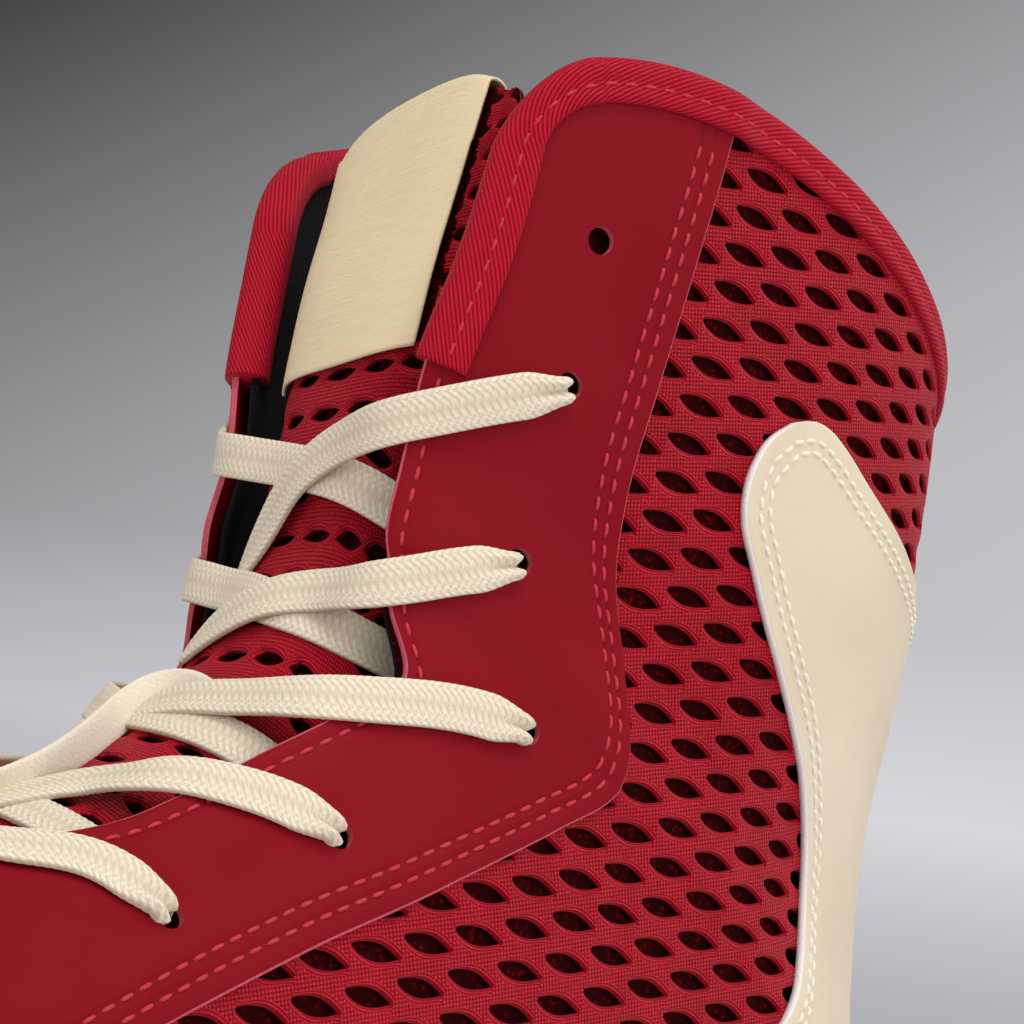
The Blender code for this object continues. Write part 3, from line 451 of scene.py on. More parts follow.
def smoothRange(tree, value, low, high):  # 0 below low, 1 above high
    ends = {0: value, 1: low, 2: high}
    return addNode(tree, "MapRange", ends, interpolation_type="SMOOTHSTEP").outputs[0]


def objectNoise(tree, sizeMm, detail=3.0):  # grain of a real size, from Object coordinates
    at = addNode(tree, "TexCoord").outputs["Object"]
    return addNode(tree, "TexNoise", {"Vector": at, "Scale": 1000.0 / sizeMm, "Detail": detail}).outputs[0]


def addBump(tree, shader, height, deepMm):
    bump = addNode(tree, "Bump", {"Height": height, "Strength": 1.0, "Distance": deepMm * mm})
    tree.links.new(bump.outputs[0], shader.inputs["Normal"])


# Polyester spacer knit: yarns run round every hole, rungs of loops cross the bands between; the colour
# follows the yarn height, darker in the valleys as painted shade and lighter on the crests and loops as
# painted highlight
knitLook = {"valleyShade": "#68040D", "crest": "#D81C32", "shade": "#400408",
            "gloss": "#FF8090", "sheen": "#FF6070",
            "yarnMm": 0.52, "loopMm": 0.64, "rungMm": 0.6, "deepMm": 0.2}


def knitMaterial():
    material, tree, shader = startMaterial("spacerKnit", {
        "Roughness": 0.52, "Specular IOR Level": 0.24, "Specular Tint": hexColour(knitLook["gloss"]),
        "Sheen Weight": 0.3, "Sheen Roughness": 0.35, "Sheen Tint": hexColour(knitLook["sheen"])})
    ring = uvNode(tree, "ring")
    flat = uvNode(tree, "flat")
    yarn = wave(tree, ring[1], knitLook["yarnMm"])
    loop = wave(tree, ring[0], knitLook["loopMm"])
    edging = calc(tree, "MULTIPLY", yarn, calc(tree, "MULTIPLY_ADD", loop, 0.45, 0.55))
    rungA = wave(tree, flat[0], knitLook["loopMm"])
    rungB = wave(tree, flat[1], knitLook["rungMm"])
    ladder = calc(tree, "MULTIPLY", calc(tree, "POWER", rungA, 0.7), calc(tree, "POWER", rungB, 0.7))
    far = smoothRange(tree, ring[1], 0.75, 1.25)
    height = addNode(tree, "Mix", {0: far, 2: edging, 3: ladder}).outputs[0]
    fuzz = objectNoise(tree, 0.5, 4.0)
    patch = objectNoise(tree, 9.0, 2.0)
    tone = addGrain(tree, addGrain(tree, height, fuzz, 0.35), patch, 0.3)
    # painted shade and highlight: valleys take the dark colour, crests the light one
    colour = mixColour(tree, tone, hexColour(knitLook["valleyShade"]), hexColour(knitLook["crest"]))
    lift = uvNode(tree, "deep")[0]   # painted shade: the wall of a hole is coloured darker
    lit = smoothRange(tree, lift, -0.75, 0.0)
    tree.links.new(mixColour(tree, lit, hexColour(knitLook["shade"]), colour), shader.inputs["Base Color"])
    addBump(tree, shader, height, knitLook["deepMm"])
    return material


# Net and foam behind the holes: small dark red loops on a nearly black ground; that ground is partly the
# net's own colour and partly painted shade for the depth of the holes
netLook = {"deep": "#300305", "loop": "#8E0C18", "spacingMm": 1.15}


def netMaterial():
    material, tree, shader = startMaterial("backingNet", {"Roughness": 0.85, "Specular IOR Level": 0.05})
    at = addNode(tree, "TexCoord").outputs["Object"]
    dots = addNode(tree, "TexVoronoi", {"Vector": at, "Scale": 1000.0 / netLook["spacingMm"]}).outputs[0]
    amount = addNode(tree, "MapRange", {0: dots, 1: 0.18, 2: 0.42, 3: 1.0, 4: 0.0}).outputs[0]
    amount = calc(tree, "MULTIPLY", amount, calc(tree, "POWER", objectNoise(tree, 2.5), 1.5))
    paint(tree, shader, amount, netLook["deep"], netLook["loop"])
    addBump(tree, shader, amount, 0.3)
    return material


# One fine grain in colour and bump, for lining, cut edges and thread
liningLook = {"grainMm": 0.45, "detail": 5.0, "deepMm": 0.35, "rough": 0.95, "gloss": 0.06, "sheen": 0.04}
cutEdgeLook = {"grainMm": 0.35, "detail": 4.0, "deepMm": 0.1, "rough": 0.8, "gloss": 0.2, "sheen": 0.0}
threadLook = {"grainMm": 0.4, "detail": 2.0, "deepMm": 0.08, "rough": 0.55, "gloss": 0.25, "sheen": 0.0}


def grainMaterial(name, deep, pale, look):
    material, tree, shader = startMaterial(name, {
        "Roughness": look["rough"], "Specular IOR Level": look["gloss"], "Sheen Weight": look["sheen"],
        "Sheen Roughness": 0.6})
    grain = objectNoise(tree, look["grainMm"], look["detail"])
    paint(tree, shader, grain, deep, pale)
    addBump(tree, shader, grain, look["deepMm"])
    return material


# Sheets and rubber: matt, a fine grain over faint cloudiness that also turns the gloss
redLook = {"grainMm": 0.5, "deepMm": 0.012, "share": 0.25, "cloudMm": 22.0, "detail": 2.0,
           "rough": (0.42, 0.16), "gloss": 0.04}
creamLook = dict(redLook, grainMm=0.7, deepMm=0.02, rough=(0.34, 0.16), gloss=0.25)
rubberLook = {"grainMm": 0.7, "deepMm": 0.07, "share": 0.0, "cloudMm": 14.0, "detail": 3.0,
              "rough": (0.45, 0.2), "gloss": 0.4}


def sheetMaterial(name, deep, pale, look):
    material, tree, shader = startMaterial(name, {"Specular IOR Level": look["gloss"]})
    grain = objectNoise(tree, look["grainMm"], 3.0)
    cloud = objectNoise(tree, look["cloudMm"], look["detail"])
    paint(tree, shader, addGrain(tree, cloud, grain, look["share"]), deep, pale)
    low, span = look["rough"]
    tree.links.new(calc(tree, "MULTIPLY_ADD", cloud, span, low), shader.inputs["Roughness"])
    addBump(tree, shader, grain, look["deepMm"])
    return material


# Twill tape: slanted ribs of bright red polyester; the colour follows the rib height, darker in the rib
# valleys as painted shade
twillLook = {"valleyShade": "#6A0614", "crest": "#C4162E", "ribMm": 0.62, "ribAngle": 27.0, "deepMm": 0.14}


def twillMaterial():
    material, tree, shader = startMaterial("twillTape", {
        "Roughness": 0.55, "Specular IOR Level": 0.22, "Specular Tint": hexColour(knitLook["gloss"]),
        "Sheen Weight": 0.12, "Sheen Roughness": 0.4, "Sheen Tint": hexColour(knitLook["sheen"])})
    tape = uvNode(tree, "tape")
    slant = np.radians(twillLook["ribAngle"])   # from the tape's own direction
    across = calc(tree, "MULTIPLY", tape[1], np.cos(slant))
    past = calc(tree, "MULTIPLY_ADD", tape[0], -np.sin(slant), across)
    rib = calc(tree, "POWER", wave(tree, past, twillLook["ribMm"]), 0.75)
    yarn = wave(tree, tape[1], 0.5)
    height = calc(tree, "MULTIPLY", rib, calc(tree, "MULTIPLY_ADD", yarn, 0.2, 0.8))
    fuzz = objectNoise(tree, 0.6, 4.0)
    paint(tree, shader, addGrain(tree, height, fuzz, 0.4), twillLook["valleyShade"], twillLook["crest"])
    addBump(tree, shader, height, twillLook["deepMm"])
    return material


# Woven satin: long floats across the label give fine level lines and a soft gloss
def satinMaterial():
    material, tree, shader = startMaterial("wovenSatin", {"Specular IOR Level": 0.35})
    cloth = uvNode(tree, "cloth")
    floats = wave(tree, cloth[1], 0.34)
    stretched = {0: calc(tree, "MULTIPLY", cloth[0], 0.12), 1: calc(tree, "MULTIPLY", cloth[1], 2.2)}
    at = addNode(tree, "CombineXYZ", stretched)
    slub = addNode(tree, "TexNoise", {"Vector": at.outputs[0], "Scale": 1.0, "Detail": 4.0}).outputs[0]
    tone = calc(tree, "MULTIPLY_ADD", floats, 0.3, calc(tree, "MULTIPLY", slub, 0.75))
    paint(tree, shader, tone, "#CDB68C", "#EAD8B4")
    tree.links.new(calc(tree, "MULTIPLY_ADD", slub, 0.25, 0.38), shader.inputs["Roughness"])
    addBump(tree, shader, tone, 0.06)
    return material


# Flat cotton-look braid: the ribs are in the mesh; the colour is darker in the rib valleys as painted shade,
# with the yarn's fuzz as random grain
def braidMaterial():
    material, tree, shader = startMaterial("flatBraid", {
        "Roughness": 0.85, "Specular IOR Level": 0.15, "Sheen Weight": 0.05, "Sheen Roughness": 0.5})
    braid = uvNode(tree, "braid")
    fuzz = objectNoise(tree, 0.4, 5.0)
    paint(tree, shader, addGrain(tree, braid[1], fuzz, 0.5), "#C2B196", "#EEE3D0")
    addBump(tree, shader, fuzz, 0.12)
    return material


knit = knitMaterial()
net = netMaterial()
lining = grainMaterial("brushedLining", "#020202", "#0E0D0D", liningLook)
redSheet = sheetMaterial("redMicrofibre", "#780B17", "#84121E", redLook)
# painted highlight: the red cut edge is pale pink, partly the fibre's own lighter cut and partly a painted
# highlight along the edge
redEdgeAndHighlight = grainMaterial("redCutEdgeAndHighlight", "#9E2A3A", "#D76A78", cutEdgeLook)
creamSheet = sheetMaterial("creamSynthetic", "#D2BFA3", "#DFD2BB", creamLook)
creamCut = grainMaterial("creamCutEdge", "#D9D2CC", "#F1EEEC", cutEdgeLook)
twill = twillMaterial()
satin = satinMaterial()
braidCloth = braidMaterial()
redThread = grainMaterial("redThread", "#9A1428", "#CC3348", threadLook)
needleShade = grainMaterial("needleShade", "#4A060C", "#680B14", threadLook)
creamThread = grainMaterial("creamThread", "#D9CDB6", "#F2EADB", threadLook)
rubber = sheetMaterial("mouldedRubber", "#CDBE9F", "#E2D6BC", rubberLook)
print("materials ready")


# Camera: the photo's angle to the shoe, low on the outer front, rolled
view = {"azimuth": 50.0, "rise": -8.0, "roll": 8.0, "focalPixels": 2700.0, "imagePixels": 1024.0,
        "sensorMm": 36.0, "place": (0.23197, 0.33291, 0.05824)}


def makeCamera():
    azimuth, rise, roll = np.radians([view["azimuth"], view["rise"], view["roll"]])
    back = np.array([np.cos(rise) * np.cos(azimuth), np.cos(rise) * np.sin(azimuth), np.sin(rise)])
    right = np.array([-np.sin(azimuth), np.cos(azimuth), 0.0])
    up = np.cross(back, right)
    turnedRight = right * np.cos(roll) + up * np.sin(roll)
    turnedUp = up * np.cos(roll) - right * np.sin(roll)
    data = bpy.data.cameras.new("photoCamera")
    data.sensor_width = view["sensorMm"]
    data.lens = view["sensorMm"] * view["focalPixels"] / view["imagePixels"]
    data.clip_start = 0.01
    data.clip_end = 50.0
    camera = addObject("photoCamera", data)
    camera.matrix_world = turnedTo(turnedRight, turnedUp, back, view["place"])
    bpy.context.scene.camera = camera
    return turnedRight, turnedUp, back


camRight, camUp, camBack = makeCamera()
bpy.context.scene.view_settings.view_transform = "Standard"   # keeps the reds as deep as they are set


# Stage: a pale floor that curves up into a wall all round; the wall glows as painted light, like lit paper;
# behind the shoe the glow is dark at the upper left and pale at the lower right, and plain grey elsewhere
stage = {"flat": 1.6, "bend": 1.4, "wall": 2.6, "pale": "#C3C2C6", "dark": "#0A0A0B", "plain": "#949496",
         "floor": "#D9D9DC", "wallBase": "#2A2A2B", "slope": (0.42, -0.85), "fade": (-1.1, 0.45),
         "cone": (0.78, 0.94)}


def dotNode(tree, vector, axis):
    made = addNode(tree, "VectorMath", {0: vector, 1: tuple(axis)}, operation="DOT_PRODUCT")
    return made.outputs["Value"]


def makeStage():
    arc = np.linspace(0, np.pi / 2, 24)
    r = np.concatenate([[0.001, 0.4, 0.9, 1.3], stage["flat"] + stage["bend"] * np.sin(arc),
                        [stage["flat"] + stage["bend"]]])
    z = np.concatenate([[0, 0, 0, 0], stage["bend"] * (1 - np.cos(arc)), [stage["bend"] + stage["wall"]]])
    turn = np.linspace(0, 2 * np.pi, 97)[:-1]
    points = np.stack([r[:, None] * np.cos(turn), r[:, None] * np.sin(turn), z[:, None] + 0 * turn], -1)
    points, numbers = joinGrids([points])
    mesh = bpy.data.meshes.new("studioFloor")
    mesh.from_pydata(points.tolist(), [], gridQuads(numbers[0], closed=True)[:, ::-1].tolist())
    mesh.polygons.foreach_set("use_smooth", np.ones(len(mesh.polygons), bool))
    floor = addObject("studioFloor", mesh)
    material, tree, shader = startMaterial("paperWithPaintedGlow", {
        "Roughness": 0.9, "Specular IOR Level": 0.1, "Emission Strength": 1.0})
    at = addNode(tree, "TexCoord").outputs["Object"]
    axis = stage["slope"][0] * camRight + stage["slope"][1] * camUp
    low, high = np.dot(axis, view["place"]) + np.array(stage["fade"])
    amount = smoothRange(tree, dotNode(tree, at, axis), low, high)
    glow = mixColour(tree, amount, hexColour(stage["dark"]), hexColour(stage["pale"]))
    ray = addNode(tree, "VectorMath", {0: at, 1: view["place"]}, operation="SUBTRACT").outputs[0]
    ray = addNode(tree, "VectorMath", {0: ray}, operation="NORMALIZE").outputs[0]
    near = smoothRange(tree, dotNode(tree, ray, -camBack), *stage["cone"])
    glow = mixColour(tree, near, hexColour(stage["plain"]), glow)
    height = addNode(tree, "SeparateXYZ", {0: at}).outputs[2]
    lit = addNode(tree, "MapRange", {0: height, 1: 0.0, 2: 0.18, 3: 0.35, 4: 1.0}).outputs[0]
    # painted light: the wall's glow, faded out towards the floor
    tree.links.new(mixColour(tree, lit, (0.0, 0.0, 0.0, 1.0), glow), shader.inputs["Emission Color"])
    bare = addNode(tree, "MapRange", {0: height, 1: 0.0, 2: 0.4}).outputs[0]
    paint(tree, shader, bare, stage["floor"], stage["wallBase"])
    mesh.materials.append(material)


def makeLight(name, toward, distance, size, power, aim=(0.0, 0.02, 0.1)):
    data = bpy.data.lights.new(name, "AREA")
    data.shape = "DISK"
    data.size = size
    data.energy = power
    lamp = addObject(name, data)
    back = unit(np.array(toward, float))
    side = unit(np.cross((0.0, 0.0, 1.0), back) + np.array([1e-6, 0, 0]))
    lamp.matrix_world = turnedTo(side, np.cross(back, side), back, np.array(aim) + back * distance)


makeStage()
makeLight("topSoftbox", camUp * 1.0 + camBack * 0.35 + camRight * 0.25, 1.1, 0.8, 8.6)
makeLight("sideSoftbox", camRight * 0.7 + camBack * 0.7 + camUp * 0.3, 1.1, 0.7, 4.0)
makeLight("heelSoftbox", camRight * 1.0 - camBack * 0.35 + camUp * 0.45, 1.1, 0.6, 2.6)
makeLight("frontFill", camBack * 0.6 - camRight * 0.9 + camUp * 0.4, 1.4, 1.0, 6.0)
world = bpy.data.worlds.new("studioAir")
bpy.context.scene.world = world
world.use_nodes = True
world.node_tree.nodes["Background"].inputs[0].default_value = hexColour("#D8DADF")
world.node_tree.nodes["Background"].inputs[1].default_value = 0.2
print("camera and studio ready")


# Eyelet holes: one cutter for every panel that the lace goes through
eyeletHole = {"radius": 2.1, "sides": 28, "below": -7.0, "above": 5.0}


def makeEyeletCutter():
    turn = np.linspace(0, 2 * np.pi, eyeletHole["sides"] + 1)[:-1]
    points, faces = [], []
    for u0, s0 in eyelets:
        for side in (1, -1):
            mid = onLast(np.array(u0), np.array(side * s0))
            axis = lastNormal(np.array(u0), np.array(side * s0))
            a = unit(np.cross(axis, (0.0, 0.0, 1.0)))
            b = np.cross(axis, a)
            ring = eyeletHole["radius"] * (np.cos(turn)[:, None] * a + np.sin(turn)[:, None] * b)
            n, m = len(points), len(points) + len(turn)
            points += (mid + axis * eyeletHole["below"] + ring).tolist()
            points += (mid + axis * eyeletHole["above"] + ring).tolist()
            faces += [list(range(m - 1, n - 1, -1)), list(range(m, m + len(turn)))]
            for k in range(len(turn)):
                after = (k + 1) % len(turn)
                faces.append([n + k, n + after, m + after, m + k])
    mesh = bpy.data.meshes.new("eyeletCutter")
    mesh.from_pydata(((np.array(points) - shoeCentre) * mm).tolist(), [], faces)
    # the eyelet walls take the red cut edge with its painted highlight
    mesh.materials.append(redEdgeAndHighlight)
    mesh.materials.append(redEdgeAndHighlight)
    mesh.polygons.foreach_set("material_index", np.ones(len(mesh.polygons), np.int32))
    work = bmesh.new()
    work.from_mesh(mesh)
    bmesh.ops.recalc_face_normals(work, faces=work.faces)
    work.to_mesh(mesh)
    work.free()
    return addObject("eyeletCutter", mesh)


eyeletCutter = makeEyeletCutter()


def punchEyelets(piece):
    cut = piece.modifiers.new("eyelets", "BOOLEAN")
    cut.operation = "DIFFERENCE"
    cut.solver = "EXACT"
    cut.object = eyeletCutter
    freeze(piece)
    piece.data.set_sharp_from_angle(angle=np.radians(50))


# Lining and backing: one shell over the whole last, net outside and brushed lining inside
liningShell = {"outerLift": -1.7, "thick": 1.3, "columns": 44}


def makeLining():
    u = np.concatenate([np.linspace(0, 4.9, 36), np.linspace(5.0, 5.6, 16), np.linspace(5.7, rimRow, 92)])
    t = np.linspace(0, 1, liningShell["columns"])
    grids = []
    for side in (1, -1):
        start, end = throatEdge(u, side)[:, None], girthEnd(u, side)[:, None]
        s = start + (end - start) * t[None, :] ** 0.9
        rows = np.minimum(u[:, None], rimLine(s, side))
        grids.append(skin(rows, side * s, np.full(s.shape, liningShell["outerLift"])))
    points, numbers = joinGrids(grids)
    piece = makePiece("shoeLining", points, mirrorQuads(numbers), [net, lining], ["upper"],
                      outward=False)
    thicken(piece, liningShell["thick"], -1.0, 1)


makeLining()


# Spacer knit: lens-shaped holes in a slanted lattice; each cell is rings from its outline in to the hole
lattice = {"along": (9.45, 1.9), "down": (-0.86, -6.17), "origin": (-34.3, 154.4),
           "tip": (4.6, -0.72), "bulge": (0.5, 1.3), "tipPower": 1.9, "edgePoints": (10, 6)}
cellRings = np.array([   # share of the way from hole edge to outline, lift over the skin
    (0.2, -1.9), (0.08, -1.2), (0.0, -0.6), (0.0, -0.28), (0.05, -0.02), (0.16, 0.13), (0.45, 0.22),
    (1.0, 0.26)])


def cellPattern(spec):
    # outline of the slanted cell, and for each outline point the lens edge at the same turn:
    # hole = tip * cos + bulge * (1 - |cos| ** tipPower) * sign of the sine
    along, down = np.array(spec["along"]), np.array(spec["down"])
    n, m = spec["edgePoints"]
    f, g = np.arange(n)[:, None] / n - 0.5, np.arange(m)[:, None] / m - 0.5
    outline = np.concatenate([f * along - 0.5 * down, 0.5 * along + g * down, -f * along + 0.5 * down,
                              -0.5 * along - g * down])
    tip, bulge = np.array(spec["tip"]), np.array(spec["bulge"])
    level = outline @ np.linalg.inv(np.stack([tip, bulge]))
    level = level / np.abs(level).max(0)
    turn = np.arctan2(level[:, 1], level[:, 0])[:, None]
    rise = 1 - np.abs(np.cos(turn)) ** spec["tipPower"]
    hole = tip * np.cos(turn) + bulge * rise * np.sign(np.sin(turn))
    share = cellRings[:, 0][:, None, None]
    rings = hole + (outline - hole) * share
    gap = np.linalg.norm(outline - hole, axis=1)
    perimeter = np.cumsum(np.linalg.norm(np.diff(hole, axis=0, prepend=hole[-1:]), axis=1))
    ringUv = np.stack([np.broadcast_to(perimeter, rings.shape[:2]), share[..., 0] * gap], -1)
    return rings, ringUv


def latticeCentres(spec, reach):
    i, j = np.meshgrid(np.arange(-reach, reach), np.arange(-reach, reach), indexing="ij")
    place = i[..., None] * np.array(spec["along"]) + j[..., None] * np.array(spec["down"])
    return (place + np.array(spec["origin"])).reshape(-1, 2)


def latticeMesh(centres, spec):  # all cells at once: flat places, lifts, quads and both maps
    rings, ringUv = cellPattern(spec)
    flat = centres[:, None, None, :] + rings[None]
    lift = np.broadcast_to(cellRings[:, 1][None, :, None], flat.shape[:3])
    turn = np.arctan2(spec["along"][1], spec["along"][0])
    row = flat[..., 0] * np.cos(turn) + flat[..., 1] * np.sin(turn)
    across = flat[..., 1] * np.cos(turn) - flat[..., 0] * np.sin(turn)
    # the deep map carries each ring's lift; the knit paints shade on the hole walls from it
    maps = {"ring": np.broadcast_to(ringUv, flat.shape).reshape(-1, 2),
            "flat": np.stack([row, across], -1).reshape(-1, 2),
            "deep": np.stack([lift, 0 * lift], -1).reshape(-1, 2)}
    return flat, lift, ringQuads(flat), maps


# Heel counter in unrolled mm: front edge, then the top edge back to the heel
counterFront = [(10.0, -26.0), (20.0, -20.0), (30.0, -12.0), (38.0, -4.5), (44.6, 1.2), (47.9, 4.0),
                (54.4, 6.9), (62.6, 8.4), (70.6, 7.6), (79.9, 3.3), (88.9, -2.9), (97.6, -9.7),
                (106.1, -16.2), (114.7, -21.6), (119.0, -24.2), (123.5, -25.4), (130.0, -24.6),
                (134.6, -21.8), (137.4, -18.0)]
counterTop = [(-18.0, 137.4), (-13.5, 138.6), (-9.6, 138.0), (-5.0, 135.8), (1.1, 132.2), (16.9, 125.0),
              (36.0, 117.0), (58.12, 112.5)]


def underCounter(az):  # how far inside the counter a place is, roughly, in mm
    front = az[..., 0] - smoothLine(counterFront, az[..., 1])
    top = smoothLine(counterTop, az[..., 0]) - az[..., 1]
    return np.minimum(front, top)


quarter = {"frontA": -215.0, "pastBack": 63.4, "low": 8.0, "high": 186.0, "frontRow": 4.6,
           "underStay": 8.0, "underCounter": 8.0, "overSole": 0.5, "offSkin": 4.0, "drawnOut": 16.0,
           "leastGap": -2.0, "mostGap": 12.0}


def makeQuarterKnit(side, name):
    centres = latticeCentres(lattice, 60)
    a, z = centres.T
    inRange = (a > quarter["frontA"]) & (a < quarter["pastBack"])
    inRange &= (z > quarter["low"]) & (z < quarter["high"])
    centres = centres[inRange]
    u, s = wrap(centres, side)
    where = onLast(u, side * s)
    miss = np.linalg.norm(unroll(where, side) - centres, axis=1)
    shown = (u < rimRow + 0.1) & (u > quarter["frontRow"]) & (miss < quarter["offSkin"])
    shown &= s > stayEdge(u, side) - quarter["underStay"]
    shown &= where[:, 2] > featherZ(where[:, 0]) + quarter["overSole"]
    shown &= underCounter(centres) < quarter["underCounter"]
    flat, lift, quads, maps = latticeMesh(centres[shown], lattice)
    flat = np.stack([np.minimum(flat[..., 0], ankle["backA"]), flat[..., 1]], -1)   # stops at the back seam
    u, s = wrap(flat, side)
    heights = np.linspace(quarter["low"], quarter["high"], 180)   # both sides meet at the seam
    uBack, sBack = wrap(np.stack([0 * heights + ankle["backA"], heights], 1), side)
    gap = np.clip(girthEnd(uBack, side) - sBack, quarter["leastGap"], quarter["mostGap"])
    short = np.interp(flat[..., 1], heights, gap)
    s = s + short * softStep(flat[..., 0], ankle["backA"] - quarter["drawnOut"], ankle["backA"])
    u = np.minimum(u, rimLine(s, side))
    points = skin(u, side * s, lift).reshape(-1, 3)
    makePiece(name, points, quads[:, ::-side], [knit], ["upper"], maps, outward=False)


makeQuarterKnit(1, "outerQuarterKnit")
makeQuarterKnit(-1, "innerQuarterKnit")


# Panels: two skins with shared columns, rounded at the cut edges and pressed in along the seams
rollColumns = 5     # columns of a panel's rounded edge
cutColumns = 3      # those of them that show the cut


def panelHalf(place, width, left, right, inner, top, low, leftOpen, rightOpen):
    # left and right are (distance from that edge, lift); the open flags mark rows with a real edge there
    dl, ll = np.array(left).T
    dr, lr = np.array(right).T
    w = np.maximum(width, 0.05)[:, None]
    squeeze = np.minimum(1.0, w / (dl[-1] + dr[0] + 2.0))
    a, b = dl[-1] * squeeze, w - dr[0] * squeeze
    mid = np.linspace(0, 1, inner + 2)[None, 1:-1]
    share = np.concatenate([dl * squeeze, a + (b - a) * mid, w - dr * squeeze], 1) / w
    lift = np.full(share.shape, top)
    fade = np.clip((squeeze - 0.6) / 0.4, 0, 1)   # troughs run out where the panel narrows to a tip
    leftLift = np.where(np.arange(len(dl)) < rollColumns, ll, top - (top - ll) * fade)
    rightLift = np.where(np.arange(len(dr)) >= len(dr) - rollColumns, lr, top - (top - lr) * fade)
    lift[:, :len(dl)] = np.where(leftOpen[:, None], leftLift, top)
    lift[:, -len(dr):] = np.where(rightOpen[:, None], rightLift, top)
    return place(share, lift), place(share, np.full(share.shape, low))


def panelQuads(upper, lower, leftOpen, rightOpen):
    # top skin, under skin, end caps and the little walls where an edge begins; cut edges take slot 1
    quads = [gridQuads(upper), gridQuads(lower)[:, ::-1]]
    slots = np.zeros((upper.shape[0] - 1, upper.shape[1] - 1), int)
    slots[:, :cutColumns] = np.where((leftOpen[:-1] & leftOpen[1:])[:, None], 1, 0)
    slots[:, -cutColumns:] = np.where((rightOpen[:-1] & rightOpen[1:])[:, None], 1, 0)
    faceSlots = [slots.ravel(), np.zeros(slots.size, int)]
    for end in (0, -1):
        quads.append(gridQuads(np.stack([upper[end], lower[end]])))
        faceSlots.append(np.zeros(upper.shape[1] - 1, int))
    for column, isOpen in ((0, leftOpen), (-1, rightOpen)):
        change = np.nonzero(isOpen[:-1] != isOpen[1:])[0]
        for k in change:
            quads.append(gridQuads(np.stack([upper[k:k + 2, column], lower[k:k + 2, column]])))
            faceSlots.append(np.ones(1, int))
    return np.concatenate(quads), np.concatenate(faceSlots)


def panelPiece(name, grids, leftOpen, rightOpen, materials, node, weld=2e-6):
    points, numbers = joinGrids(grids)
    made = [panelQuads(numbers[k], numbers[k + 1], leftOpen, rightOpen) for k in (0, 2)]
    return makePiece(name, points, np.concatenate([m[0] for m in made]), materials, [node],
                     faceSlots=np.concatenate([m[1] for m in made]), weld=weld)


seamDip = 0.3
eyestay = {"top": 1.5, "low": 0.3, "throatSeam": 2.8, "outerSeams": (3.3, 5.8), "inner": 26,
           "frontRow": 0.42, "underTape": 0.2}


def seamColumns(seams, top, low):  # edge roll, then a soft trough at each seam, as (distance, lift)
    columns = [(0.0, low), (0.0, low + 0.55 * (top - low)), (0.12, top - 0.28), (0.4, top - 0.08), (0.9, top)]
    for seam in seams:
        columns += [(seam - 1.0, top), (seam - 0.45, top - 0.5 * seamDip), (seam, top - seamDip),
                    (seam + 0.45, top - 0.5 * seamDip), (seam + 1.0, top)]
    return columns


def makeEyestay():
    throatStart = throatRow + 0.5 * np.linspace(0, 1, 30)[1:] ** 1.8
    u = np.concatenate([np.linspace(eyestay["frontRow"], 4.6, 38), np.linspace(4.66, throatRow, 10),
                        throatStart, np.linspace(5.55, rimRow - eyestay["underTape"], 190)])
    isOpen = u > throatRow + 1e-9
    everyRow = np.ones(len(u), bool)
    left = seamColumns((eyestay["throatSeam"],), eyestay["top"], eyestay["low"])
    right = seamColumns(eyestay["outerSeams"], eyestay["top"], eyestay["low"])[::-1]
    grids = []
    for side in (1, -1):
        start = throatEdge(u, side)
        width = np.maximum(stayEdge(u, side) - start, 1.0)

        def place(share, lift):
            s = start[:, None] + width[:, None] * share
            rows = np.minimum(u[:, None], rimLine(s, side) - eyestay["underTape"])
            return skin(rows, side * s, lift)
        grids += panelHalf(place, width, left, right, eyestay["inner"], eyestay["top"], eyestay["low"],
                           isOpen, everyRow)
    panel = panelPiece("eyestayPanel", grids, isOpen, everyRow, [redSheet, redEdgeAndHighlight],
                       "eyestay")
    punchEyelets(panel)


makeEyestay()

counter = {"top": 1.6, "low": 0.3, "seams": (3.1, 5.0), "inner": 18, "rows": 150, "corner": 0.66}


def counterEdges():  # front edge and back edge at equal steps: both end at the tip of the wing
    q = np.linspace(0, 1, counter["rows"])
    zs = np.linspace(counterFront[0][0], counterFront[-1][0], 400)
    front = np.stack([smoothLine(counterFront, zs), zs], 1)
    run = runLength(front)
    front = np.stack([np.interp(q * run[-1], run, front[:, k]) for k in (0, 1)], 1)
    azs = np.linspace(counterTop[-1][0], counterTop[0][0], 300)
    top = np.stack([azs, smoothLine(counterTop, azs)], 1)
    run = runLength(top)
    up = np.clip((q - counter["corner"]) / (1 - counter["corner"]), 0, 1)
    rest = np.stack([np.interp(up * run[-1], run, top[:, k]) for k in (0, 1)], 1)
    low = np.stack([0 * q + ankle["backA"], 10.0 + (counterTop[-1][1] - 10.0) * q / counter["corner"]], 1)
    back = np.where((q < counter["corner"])[:, None], low, rest)
    return front, back, q > counter["corner"]


def makeCounter():
    front, back, topOpen = counterEdges()
    width = np.linalg.norm(back - front, axis=1)
    everyRow = np.ones(len(width), bool)
    left = seamColumns((), counter["top"], counter["low"])
    grids = []
    for side in (1, -1):
        def place(share, lift):
            az = front[:, None, :] + (back - front)[:, None, :] * share[..., None]
            u, s = wrap(az, side)
            return skin(u, side * s, lift)
        grids += panelHalf(place, width, left, left[::-1], counter["inner"], counter["top"], counter["low"],
                           everyRow, topOpen)
    panelPiece("heelCounterPanel", grids, everyRow, topOpen, [creamSheet, creamCut],
               "heel_counter", 2e-5)


makeCounter()


